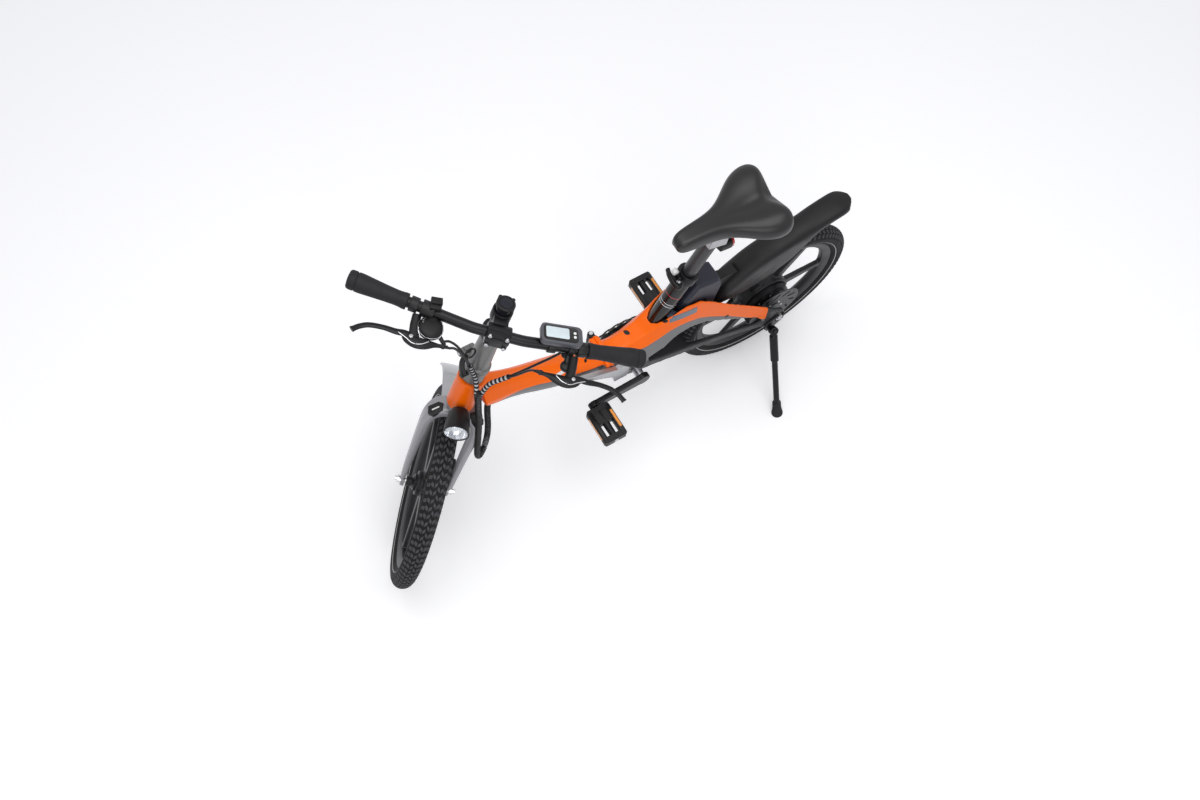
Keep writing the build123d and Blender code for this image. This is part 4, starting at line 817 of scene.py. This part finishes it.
# ------------------------------------------------------------------ saddle
# Along the saddle: place, half width, height of the top, depth of the hollow, height of the skirt's hem.
SADDLE = [(359.3, 9, 790, 0, 774), (353, 18, 799, 0, 769), (338, 23, 805, 0, 767), (305, 26, 808, 0, 767),
          (268, 30, 808, 0, 768), (236, 40, 807, 2, 769), (206, 60, 808, 6, 768), (180, 80, 812, 11, 766),
          (155, 92, 817, 14, 765), (130, 95, 820.5, 15, 765), (111, 88, 819, 14, 766),
          (100.5, 66, 806, 8, 770)]
saddle = Form()
rings = []
for x, half, top, hollow, hem_z in SADDLE:
    tall = top - hem_z
    profile = [(0, hem_z + 2), (0.55, hem_z + 2), (0.88, hem_z + 0.5), (0.985, hem_z + 0.12 * tall),
               (1.0, hem_z + 0.42 * tall), (0.95, hem_z + 0.74 * tall), (0.8, top - 0.06 * tall),
               (0.58, top),
               (0.3, top - 0.35 * hollow), (0.12, top - hollow)]
    ring = [(x, half * y, z) for y, z in profile] + [(x, 0, top - hollow * 1.1)]
    ring += [(x, -half * y, z) for y, z in reversed(profile[1:])]
    notch = 24 * min(1, max(0, (175 - x) / 60)) ** 1.5
    ring = [(px + notch * (1 - min(1, abs(y) / 52) ** 2), y, z) for px, y, z in ring]
    rings.append(ring)
saddle.rings(rings, saddle_vinyl)
saddle_piece = build("saddle_cover", saddle, upright, "seat", "saddle", bevel=0, smooth=2, sharp=180)
softened("saddle_clamp", upright, silver_paint, 1.5, 3)
dress(post_anodised, "seatpost")

LAMP_Z = 690.0
lamp = Form()
lamp.rings([[(x, y, LAMP_Z + z) for y, z in rounded(w, h, r)] for x, w, h, r in
            ((246, 12, 14, 4), (236, 16, 16, 5), (231, 40, 27, 8), (208, 44, 31, 10), (204, 44, 31, 10))],
           black_abs)
lamp.rings([[(x, y, LAMP_Z + z) for y, z in rounded(w, h, r)] for x, w, h, r in
            ((204.4, 43, 30, 9.5), (198.5, 42, 29, 9), (195.6, 34, 21, 7))], red_lens)
build("rear_lamp", lamp, upright, "seat", "rear_light", bevel=0.4)

tube = Form()
tube.turned([(21, 29), (21, 318), (17.3, 318), (17.3, 60), (17.3, 29)], gloss_black, axis=UP,
            steps=64, looped=True)
build("seat_tube_sleeve", tube, seat, "rear_frame", "seat_tube", bevel=0.6)
for height, material, name in ((232, polished, "silver"), (240, polished, "upper_silver"),
                               (266, red_lens, "red")):
    band = Form()
    band.turned([(21.05, height - 0.8), (21.3, height - 0.5), (21.3, height + 0.5), (21.05, height + 0.8)],
                material,
                axis=UP, steps=64, looped=True)
    build(name + "_seat_tube_ring", band, seat, "rear_frame", bevel=0)

# ------------------------------------------------------------------ what keeps its CAD shape
for node, material in (("chain", chain_steel), ("derailleur", black_nylon), ("crank_spindle", steel),
                       ("chainring", anodised_black), ("fold_pin", steel), ("stem_pin", steel)):
    dress(material, node)
for node, place, material, voxel, rounds in (("left_crank", upright, anodised_black, 1.4, 3),
                                             ("right_crank", upright, anodised_black, 1.4, 3),
                                             ("frame_latch", upright, silver_paint, 1.3, 3),
                                             ("post_base", steering, handlepost_paint, 1.5, 3),
                                             ("handlepost", steering, handlepost_paint, 1.7, 3),
                                             ("post_collar", steering, anodised_black, 1.4, 2),
                                             ("headlight_bracket", steering, black_nylon, 1.2, 2),
                                             ("rear_brake_caliper", rear_wheel, anodised_black, 1.3, 3),
                                             ("front_brake_caliper", front_wheel, anodised_black, 1.3, 3),
                                             ("stand_bracket", upright, black_nylon, 1.4, 3),
                                             ("stand_leg", upright, anodised_black, 1.4, 3)):
    softened(node, place, material, voxel, rounds)
foot_low, foot_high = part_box("stand_foot")
leg_low, leg_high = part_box("stand_leg")
foot_middle = Vector(((foot_low.x + foot_high.x) / 2, (foot_low.y + foot_high.y) / 2, 0))
leg_top = Vector(joints["stand_swing"]["pos_m"])
foot_place = Matrix.Translation(foot_middle) @ Matrix.Scale(MM, 4)
lean_in = (leg_top - foot_middle).normalized()
foot = Form()
foot.rings([[Vector((cos(2 * pi * k / 40) * r * 1.12, sin(2 * pi * k / 40) * r,
                     0)) + lean_in * h / lean_in.z for k in range(40)] for r,
            h in ((14, 0.3), (14.4, 2), (13.6, 6), (11.8, 12), (11.0, 20), (10.9, 29), (9, 30.5))],
           stand_rubber)
build("stand_foot_boot", foot, foot_place, "side_stand", "stand_foot", bevel=0.3)
dress(anodised_black, "handlebar")


# Patches left blank where labels are stuck, and black ovals of painted shade where the frame has access holes.
patch("stay_label", rear_shell, "rear_frame", (308, 46, 487), (0, 0.9, 0.42), rounded(70, 20, 2),
      blank_label, 0.8)
patch("beam_label", front_shell, "front_frame", (641, 30, 492), (0, 0.55, 0.84), rounded(46, 9, 1.5),
      white_print, 0.4)
# The frame's access holes: flat black ovals on the shell that paint the shade inside each hole.
for name, shell, body, spot, size in (("frame_hole", front_shell, "front_frame", (560, 30, 462),
                                       (9, 6, 2.9)),
                                      ("front_hole", rear_shell, "rear_frame", (430, 30, 458),
                                       (11, 8, 3.9)),
                                      ("middle_hole", rear_shell, "rear_frame", (352, 30, 478),
                                       (11, 8, 3.9)),
                                      ("stay_hole", rear_shell, "rear_frame", (175, 44, 372),
                                       (11, 9, 4.4))):
    patch(name, shell, body, spot, (0, 0.8, 0.6), rounded(*size), black_nylon, 0.5)

# ------------------------------------------------------------------ bar, grips and controls
BAR_HEIGHT = 660.0
BAR_END, BAR_BEND = Vector((13, 298, BAR_HEIGHT)), Vector((48, 50, BAR_HEIGHT))


def on_bar(side, from_end):
    """A place on the bar: X up, Z out along it, in millimetres."""
    end, bend = Vector(BAR_END), Vector(BAR_BEND)
    end.y *= side
    bend.y *= side
    out = (end - bend).normalized()
    up = Vector((0, 0, 1))
    over = out.cross(up)
    spot = end - out * from_end
    return Matrix([[up[i], over[i], out[i], spot[i]] for i in range(3)] + [[0, 0, 0, 1]])


def bar_ring(side, from_end, radius, width, material):
    """A clamp band round the bar, its edges stepped."""
    form = Form()
    place = on_bar(side, from_end)
    out = place.to_3x3() @ Vector((0, 0, 1))
    form.turned([(11.2, 0), (radius - 0.8, 0), (radius, 0.8), (radius, width - 0.8), (radius - 0.8, width),
                 (11.2, width)],
                material, place.translation, out, steps=48, looped=True)
    return form


for side, name in ((1, "left"), (-1, "right")):
    place = on_bar(side, 118)
    out = place.to_3x3() @ Vector((0, 0, 1))
    grip = Form()
    profile = [(11.3, 0), (15.4, 0), (16.4, 1.0), (16.4, 8), (15.6, 12), (15.2, 22)]
    profile += [(15.2 + 4.1 * (i / 8) ** 1.3, 22 + 8.4 * i) for i in range(1, 9)]
    profile += [(19.4, 94), (19.4, 101), (18.2, 101.8), (17.9, 103), (19.0, 104), (19.4, 106), (19.4, 113)]
    profile += [(18.4, 116.8), (15.5, 119), (7.0, 120.2), (0.01, 120.6)]
    grip.turned([(0.01, 0)] + profile, grip_rubber, place.translation, out, steps=56)
    build(name + "_grip_sleeve", grip, steering, "bar", name + "_grip", bevel=0.25, sharp=50)

    lever = bar_ring(side, 140, 15.5, 17, black_nylon)
    lever.tube([(46, side * 158, 650), (66, side * 158, 645), (88, side * 156, 643),
                (103, side * 150, 642)],
               [9, 9.5, 10, 9], black_nylon, steps=14, flat=0.7, up=UP)
    shell = bow([(96, side * 101, 640), (98, side * 116, 641), (103, side * 132, 643),
                 (105, side * 150, 644),
                 (101, side * 165, 644), (95, side * 173, 644)], 16)
    lever.tube(shell, [4.2, 4.6, 5.4, 6.6, 8.2, 9.8, 11.2, 12.2, 12.8, 12.8, 12.3, 11.4, 10.4, 9.3, 8.2,
                       7.0],
               black_nylon, steps=20, flat=0.62, up=UP)
    lever.turned([(0.01, 0), (3.6, 0), (3.6, 6), (5.2, 6.5), (5.2, 12), (4.0, 12.5), (4.0, 16),
                  (0.01, 16)], black_nylon,
                 (94, side * 88, 639.5), (0.12, side, 0.03), steps=18)
    blade = bow([(100, side * 158, 646), (93, side * 172, 646.5), (94, side * 190, 646.5),
                 (92, side * 214, 646),
                 (94, side * 240, 645), (101, side * 256, 644), (109, side * 266, 643.5),
                 (113, side * 270.5, 643)], 30)
    widths = [8.5 - 2.6 * min(1, i / 12) + (0.8 if i > 26 else 0) for i in range(30)]
    lever.tube(blade, widths, anodised_black, steps=16, flat=0.5, up=UP)
    rim = bow([(100, side * 126, 650.6), (110, side * 140, 650.2), (112, side * 156, 649.6),
               (104, side * 170, 650.2),
               (96, side * 186, 650.2)], 18)
    lever.tube(rim, 1.1, polished, steps=8, flat=0.6, up=UP)
    lever.turned([(0.01, 6.5), (3.4, 6.5), (4.4, 5.4), (4.4, 0), (0.01, 0)], steel, (99, side * 161, 647),
                 (0, 0, 1), steps=20)
    build(name + "_brake_lever_set", lever, steering, "bar", name + "_brake_lever", bevel=0.35, segments=1,
          sharp=40)

# The thumb shifter: a round pod ahead of the bar with a small window box above it.
pod = bar_ring(-1, 172, 17, 26, black_nylon)
POD = Vector((67, -128, 641))
pod.turned([(0.01, 0), (21, 0), (24, 3), (24.5, 8), (23.5, 13), (20, 16.5), (12, 18.4), (0.01, 19)],
           black_abs, POD, (0.1, 0, 1), steps=48)
pod.tube([(40, -128, 652), (54, -128, 652), (66, -128, 650)], [14, 15, 15], black_nylon, steps=20,
         flat=0.6, up=UP)
pod.turned([(24.7, 10.2), (25.2, 10.6), (25.2, 11.8), (24.7, 12.2)], polished, POD, (0.1, 0, 1), steps=48,
           looped=True)
pod.tube([(76, -108, 642), (84, -100, 640), (90, -94, 639)], [5, 4, 3.4], black_nylon, steps=14)
# Two thin polished arcs along the pod's sides: painted highlights where white glints show on it.
pod.tube(bow([(48, -141, 655), (64, -149, 654), (80, -150, 650), (92, -142, 645)], 14), 1.0, polished,
         steps=8)
pod.tube(bow([(44, -114, 656), (58, -106, 654), (74, -104, 650), (86, -110, 645)], 14), 0.8, polished,
         steps=8)
pod.block((26, -129, 680), (15, 22, 8), black_abs, Matrix.Rotation(radians(8), 3, "Z"))
pod.block((36, -129, 675), (16, 22, 12), black_nylon, Matrix.Rotation(radians(8), 3, "Z"))
build("thumb_shifter_pod", pod, steering, "bar", "shifter", bevel=0.8, sharp=40)

# Its dial's figures, on an arc.
for figure in range(1, 8):
    angle = radians(150 + 17 * figure)
    text = bpy.data.curves.new("figure", "FONT")
    text.body = str(figure)
    text.size = 5.2
    text.extrude = 0.12
    text.align_x = text.align_y = "CENTER"
    mesh = settled(holder_of(text))
    turn = Matrix.Rotation(angle + pi / 2, 4, "Z")
    spot = POD + Vector((17 * cos(angle) - 1.7, 17 * sin(angle), 17.6))
    mesh.transform(Matrix.Translation(spot) @ Matrix.Rotation(radians(-6), 4, "X") @ turn)
    mesh.materials.append(white_print)
    place_piece(f"dial_figure_{figure}", mesh, steering, "bar")

# The display: a grey frame round a dark window with a pale screen, and two keys.
screen_place = steering @ on_bar(1, 222)
case = Form()


def slab(form, along, over, width, depth, low, high, radius, material):
    """A rounded slab on the display, its size along the bar and over it."""
    outline = rounded(width, depth, radius, centre=(along, over))
    form.rings([[(height, y, z) for z, y in outline] for height in (low, high)], material)


slab(case, 42, -8, 84, 44, 19, 31, 10, bezel_grey)
slab(case, 40, -8, 70, 34, 30.8, 32.2, 7, gloss_black)
slab(case, 33, -9, 47, 25, 32.1, 32.7, 3, screen_glass)
slab(case, 42, -8, 80, 40, 14, 19.2, 9, black_abs)
for over in (-3.5, -12.5):
    slab(case, 68, over, 6, 6, 32.0, 33.0, 2.6, white_print)
case = mesh_of(case, bevel=0.9)
place_piece("display_head", case, screen_place, "bar", "display", 40)
band = bar_ring(1, 200, 15, 16, black_nylon)
band.block(tuple(on_bar(1, 192) @ Vector((15, -6, 0))), (22, 14, 10), black_nylon)
build("display_clamp", band, steering, "bar", bevel=0.5)

keys = bar_ring(1, 158, 14.5, 12, black_nylon)
for spot, radius in (((37, 143, 636), 8.5), ((64, 147, 634), 12)):
    keys.turned([(0.01, 0), (radius * 0.7, 0), (radius, 2.5), (radius, 8), (radius - 1.5, 11),
                 (radius * 0.5, 12.6), (0.01, 13)],
                black_abs, spot, (0.15, 0, 1), steps=36)
    keys.tube([(36, 146, 652), ((36 + spot[0]) / 2, 146, 646), (spot[0], spot[1], 640)], [6, 6, 6],
              black_nylon, steps=12)
build("bell_and_switch", keys, steering, "bar", "bell", bevel=0.4)

# ------------------------------------------------------------------ lamp
FRONT_LAMP_Z = 350.0
lamp = Form()
lamp.turned([(0.01, 34), (13, 35), (19, 38), (23.5, 48), (26.5, 70), (28, 92), (28, 95.5), (26.3, 95.5),
             (25, 86), (14, 60),
             (0.01, 56)], black_abs, (0, 0, FRONT_LAMP_Z), (1, 0, 0), steps=56)
build("lamp_shell", lamp, steering, "fork", "headlight", bevel=0.3)
bowl = Form()
bowl.turned([(25.8, 93), (24.5, 86), (20, 76), (12, 66), (5, 63), (5, 64.2), (11.6, 67.2), (19.2, 77),
             (23.6, 86.6), (24.8, 93)],
            reflector_silver, (0, 0, FRONT_LAMP_Z), (1, 0, 0), steps=56, looped=True)
bowl.turned([(0.01, 64), (3.2, 64), (3.2, 71), (2, 73), (0.01, 73.4)], white_print, (0, 0, FRONT_LAMP_Z),
            (1, 0, 0), steps=24)
build("lamp_bowl", bowl, steering, "fork", bevel=0)
glass = Form()
glass.turned([(0.01, 95.2), (22, 94.6), (25.9, 93.4), (25.9, 92.2), (22, 93.2), (0.01, 93.8)], lamp_glass,
             (0, 0, FRONT_LAMP_Z), (1, 0, 0), steps=56)
build("lamp_lens", glass, steering, "fork", bevel=0)

# ------------------------------------------------------------------ cables in their wraps
junction = steering.inverted() @ (upright @ Vector((862, 50, 668)))
lift, split = Vector((0, 0, 2.4)), Vector((0, 3.7, 0))
LOOP = [(862, 50, 668), (868, 60, 610), (872, 66, 550), (876, 68, 490), (881, 71, 435), (882, 71, 387),
        (872, 62, 352),
        (852, 46, 340), (836, 33, 362), (829, 26, 402), (826, 20, 445), (823, 15, 482), (818, 13, 517.4)]
RIGHT_WRAP = [tuple(junction + lift - split), (38, 2, 478), (37, -10, 500), (40, -22, 524)]
LEFT_WRAP = [tuple(junction + lift + split), (44, 30, 484), (42, 46, 506), (40, 60, 522)]


def wrap_turn_of(radius, half):
    """One turn of the spiral, a slanted band."""
    turn = Form()
    turn.turned([(radius - 1.4, -half - 0.4), (radius, -half), (radius, half), (radius - 1.4, half + 0.4)],
                cable_sheath, (0, 0, 0), (0.12, 0, 1),
                steps=20, looped=True)
    holder = holder_of(mesh_of(turn), "wrap_turn")
    holder.data.materials.clear()
    return holder


def wrapped(name, points, place, body, node=(), radius=5.6, half=2.2, spacing=9.0):
    """A bundle of cables in a spiral wrap."""
    line = bow(points, 14 * len(points))
    inner = Form()
    inner.tube(line, radius - 1.2, wrap_inside, steps=16)
    build(name + "_bundle", inner, place, body, node, bevel=0)
    route = bpy.data.curves.new("route", "CURVE")
    route.dimensions = "3D"
    spline = route.splines.new("POLY")
    spline.points.add(len(line) - 1)
    for point, spot in zip(spline.points, line):
        point.co = (*spot, 1)
    turn = wrap_turn_of(radius, half)
    turns = repeated(holder_of(route), along_route, Thing=turn, Spacing=spacing, Material=cable_sheath)
    bpy.data.objects.remove(turn)
    place_piece(name + "_spiral_wrap", turns, place, body)


def cable(form, points, radius=2.6):
    """A bare cable along a smooth line."""
    form.tube(bow(points, 8 * len(points)), radius, cable_sheath, steps=12)


wrapped("frame_cables", LOOP, upright, "front_frame", "cable_loop", 7.6, 0.9, 4.4)
wrapped("right_cables", RIGHT_WRAP, steering, "bar", "cable_right")
wrapped("left_cables", LEFT_WRAP, steering, "bar", "cable_left")
leads = Form()
cable(leads, [(39, -19, 518), (43, -34, 545), (58, -56, 586), (78, -73, 620), (92, -84, 636),
              (95, -92, 640)])
cable(leads, [(41, -22, 520), (43, -38, 552), (52, -62, 592), (68, -84, 624), (84, -98, 640),
              (88, -102, 641)])
cable(leads, [(41, 57, 519), (48, 70, 545), (66, 80, 592), (82, 84, 622), (92, 86, 636), (95, 92, 640)])
cable(leads, [(41, 58, 521), (44, 76, 555), (46, 98, 596), (44, 120, 630), (42, 132, 650)])
leads.turned([(0.01, -14), (6, -12), (7.5, -4), (7.5, 6), (5.5, 12), (0.01, 13)], cable_sheath,
             junction + lift * 0.3, (0.1, 0, 1), steps=20)
build("thin_leads", leads, steering, "bar", bevel=0)

# ------------------------------------------------------------------ pedals
for side, name in ((1, "left"), (-1, "right")):
    place = axes_at(Vector(joints[name + "_pedal_spin"]["pos_m"]), ahead, across, above)
    pedal = Form()
    near, far = 78.0, 174.0
    middle = side * (near + far) / 2
    for end in (1, -1):
        rail = [(31.5 * end, -9), (28 * end, -11.5), (19 * end, -11.5), (17.5 * end, -8), (17.5 * end, 8),
                (19 * end, 11.5),
                (28 * end, 11.5), (31.5 * end, 9)]
        pedal.plate([(x, z) for x, z in rail], side * (near + 6), side * (far - 4), black_nylon)
        pedal.block((30.6 * end, middle, 0), (3.0, 62, 11), amber_lens)
        for along in range(7):
            pedal.turned([(0.01, 0), (2.0, 0), (1.6, 2.2), (0.01, 2.4)], black_nylon,
                         (20.8 * end, middle + (along - 3) * 12, 10.4), (0, 0, 1), steps=8)
    for low, high in ((near, near + 13), (far - 16, far)):
        pedal.plate([(x, y) for x, y in rounded(60, high - low, 5, centre=(0, side * (low + high) / 2))],
                    -11.2, 11.2,
                    black_nylon, axes="xy")
    pedal.plate(rounded(42, 36, 4, centre=(0, middle - side * 20)), -9, 9, black_nylon, axes="xy")
    pedal.block((-25.5, middle, 11.6), (6.5, 50, 1.8), amber_lens)
    pedal.turned([(0.01, 61), (6.8, 61), (6.8, 76), (9.5, 77), (9.5, 120), (8.5, 165), (0.01, 166)],
                 black_nylon, (0, 0, 0),
                 (0, side, 0), steps=28)
    pedal.turned([(0.01, 173.6), (6.5, 173.6), (6.0, 175.4), (0.01, 175.8)], steel, (0, 0, 0),
                 (0, side, 0), steps=24)
    build(name + "_platform_pedal", pedal, place, name + "_pedal", name + "_pedal", bevel=0.6, segments=1,
          sharp=40)

# ------------------------------------------------------------------ seat clamp
collar = Form()
collar.turned([(21.1, 319), (25.2, 319), (26, 320), (26, 342), (25.2, 343.8), (17.3, 343.8), (17.3, 338),
               (21.1, 337)],
              anodised_black, axis=UP, steps=56, looped=True)
collar.block((31, 0, 331), (14, 15, 20), anodised_black)
collar.turned([(0.01, -13), (4, -13), (5, -12), (5, -8), (3, -7.5), (3, 12), (6.5, 12.5), (6.5, 22),
               (0.01, 22)], steel,
              (35, 0, 331), (0, 1, 0), steps=20)
build("seat_collar", collar, seat, "rear_frame", "seat_clamp", bevel=0.5)
lever = Form()
lever.tube(bow([(35, 21, 331), (46, 24, 331), (50, 8, 332), (47, -12, 333), (41, -26, 333)], 20),
           [6.5] * 4 + [5.5] * 12 + [5] * 4, anodised_black, steps=14, flat=1.3, up=UP)
# The white disc on the lever stands in for the metallic highlight there: a painted highlight.
lever.turned([(0.01, -6), (7, -6), (7, 6), (0.01, 6)], white_print, (38, -9, 345), (0, 1, 0), steps=24)
build("seat_collar_lever", lever, seat, "rear_frame", "seat_clamp_lever", bevel=0.4)

# ------------------------------------------------------------------ bar clamp and post details
clamp = Form()
clamp.turned([(0.01, 522), (15.4, 522), (15.4, 700), (0.01, 700)], inner_stem_paint, axis=UP,
             steps=56)
clamp.turned([(15.6, 652), (20, 652), (21, 653), (21, 677), (20, 678.5), (15.6, 678.5)], anodised_black,
             axis=UP,
             steps=56, looped=True)
clamp.plate([(8, BAR_HEIGHT - 19), (40, BAR_HEIGHT - 17), (40, BAR_HEIGHT + 15), (8, BAR_HEIGHT + 17)],
            -15, 15, anodised_black)
clamp.turned([(11.3, -24), (18.5, -24), (19.5, -23), (19.5, 23), (18.5, 24), (11.3, 24)], anodised_black,
             (48, 0, BAR_HEIGHT),
             (0, 1, 0), steps=48, looped=True)
clamp.block((58, 0, BAR_HEIGHT), (16, 46, 38), anodised_black)
clamp.block((66.5, 0, BAR_HEIGHT), (2, 22, 16), black_nylon)
for y in (-17, 17):
    for z in (-15, 15):
        clamp.turned([(0.01, 0), (4, 0), (4, 4), (3.4, 4.8), (1.8, 4.8), (1.8, 2.6), (0.01, 2.6)], steel,
                     (66, y, BAR_HEIGHT + z), (1, 0, 0), steps=18)
clamp.turned([(0.01, 690), (17.5, 690), (19.5, 691.5), (19.5, 698), (17.5, 700), (12.5, 700), (12, 698),
              (7, 698), (6.5, 699.8),
              (0.01, 699.8)], black_nylon, (0, 0, 0), (0, 0, 1), steps=48)
for turn in range(4):
    clamp.turned([(0.01, -4), (4, -4), (4, 4), (0.01, 4)], black_nylon,
                 (18.5 * cos(pi / 4 + turn * pi / 2), 18.5 * sin(pi / 4 + turn * pi / 2), 695), (0, 0, 1),
                 steps=18)
build("bar_clamp", clamp, steering, "bar", "stem", bevel=0.4, segments=2)
latch = Form()
latch.tube(bow([(26, -24, 470), (32, -34, 500), (30, -38, 520), (26, -36, 538)], 14),
           [7, 7, 7, 7, 6.5, 6, 6, 6, 6, 6, 6, 6, 6.5, 6.5],
           black_nylon, steps=14, flat=0.6, up=AHEAD)
latch.turned([(0.01, -10), (6, -10), (6, 10), (0.01, 10)], black_nylon, (24, -22, 470), (1, -1, 0),
             steps=20)
build("post_latch", latch, steering, "handlepost", bevel=0.4)
loop = Form()
turns = [2 * pi * i / 28 for i in range(27)]
loop.tube([(30 + 11 * cos(a), -30 + 11 * sin(a) * 0.7, 552 + 11 * sin(a)) for a in turns], 2.2,
          cable_sheath, steps=10)
build("latch_strap", loop, steering, "handlepost", bevel=0)

# ------------------------------------------------------------------ floor, light and camera
scene = bpy.context.scene
scene.view_settings.view_transform = "Standard"


def seen_directly(tree):
    """What the light path gives, and 1 on rays from the camera or off a glossy surface."""
    ray = add(tree, "ShaderNodeLightPath").outputs
    seen = add(tree, "ShaderNodeMath", {0: ray["Is Camera Ray"], 1: ray["Is Glossy Ray"]}, operation="MAXIMUM")
    return ray, seen.outputs[0]


floor_mesh = bpy.data.meshes.new("floor")
floor_mesh.from_pydata([(-30, -30, 0), (30, -30, 0), (30, 30, 0), (-30, 30, 0)], [], [(0, 1, 2, 3)])
floor = holder_of(floor_mesh, "floor")
# White paper under the wheels: matt, so that only soft shadows show on it.
floor_paint = bpy.data.materials.new("white_paper_sweep")
floor_paint.use_nodes = True
tree = floor_paint.node_tree
shader = tree.nodes["Principled BSDF"]
shader.inputs["Roughness"].default_value = 0.9
shader.inputs["Specular IOR Level"].default_value = 0.0
ray, seen = seen_directly(tree)
paper = add(tree, "ShaderNodeMix", {0: seen, 6: hue("D8D7DA"), 7: hue("FFFFFF")},
            data_type="RGBA").outputs[2]
tree.links.new(paper, shader.inputs["Base Color"])
glow = add(tree, "ShaderNodeMath", {0: seen, 1: 0.2}, operation="MULTIPLY").outputs[0]
shader.inputs["Emission Color"].default_value = (1, 1, 1, 1)
tree.links.new(glow, shader.inputs["Emission Strength"])
floor_mesh.materials.append(floor_paint)

world = scene.world or bpy.data.worlds.new("studio")
scene.world = world
world.use_nodes = True
tree = world.node_tree
tree.nodes.clear()
ray, seen = seen_directly(tree)
seen = add(tree, "ShaderNodeMath", {0: seen, 1: ray["Is Transmission Ray"]}, operation="MAXIMUM").outputs[0]
shade = add(tree, "ShaderNodeMix", {0: seen, 6: hue("BFC0C4"), 7: (1, 1, 1, 1)},
            data_type="RGBA").outputs[2]
glow = add(tree, "ShaderNodeBackground", {"Color": shade, "Strength": 1.0}).outputs[0]
add(tree, "ShaderNodeOutputWorld", {"Surface": glow})


def lamp_at(name, spot, aim, size, watts):
    """A soft box at a place, turned to its aim."""
    light = bpy.data.lights.new(name, "AREA")
    light.shape = "RECTANGLE"
    light.size, light.size_y = size
    light.energy = watts
    made = bpy.data.objects.new(name, light)
    turn = (Vector(spot) - Vector(aim)).to_track_quat("Z", "Y").to_matrix().to_4x4()
    made.matrix_world = Matrix.Translation(spot) @ turn
    scene.collection.objects.link(made)


middle = (Vector(cad_box[0]) + Vector(cad_box[1])) / 2
lamp_at("overhead_soft_box", middle + Vector((0.2, 0.4, 2.6)), middle, (2.6, 2.0), 38)
lamp_at("side_soft_box", middle + Vector((1.2, 2.6, 1.2)), middle, (1.6, 1.4), 18)

# The camera, as fitted to both wheels.
camera_data = bpy.data.cameras.new("camera")
camera_data.lens = 33.45
camera_data.sensor_width = 36
camera_data.shift_x = 0.0353
camera_data.shift_y = 0.0046
camera = bpy.data.objects.new("camera", camera_data)
sight = Vector((-0.7134, -1.2068, -2.7057))
aim = sight.to_track_quat("-Z", "Y").to_matrix().to_4x4()
level_off = Matrix.Rotation(radians(-0.33), 4, "Z")
camera.matrix_world = Matrix.Translation(rear_axle + Vector((1.27295, 1.1076, 2.4537))) @ aim @ level_off
scene.collection.objects.link(camera)
scene.camera = camera
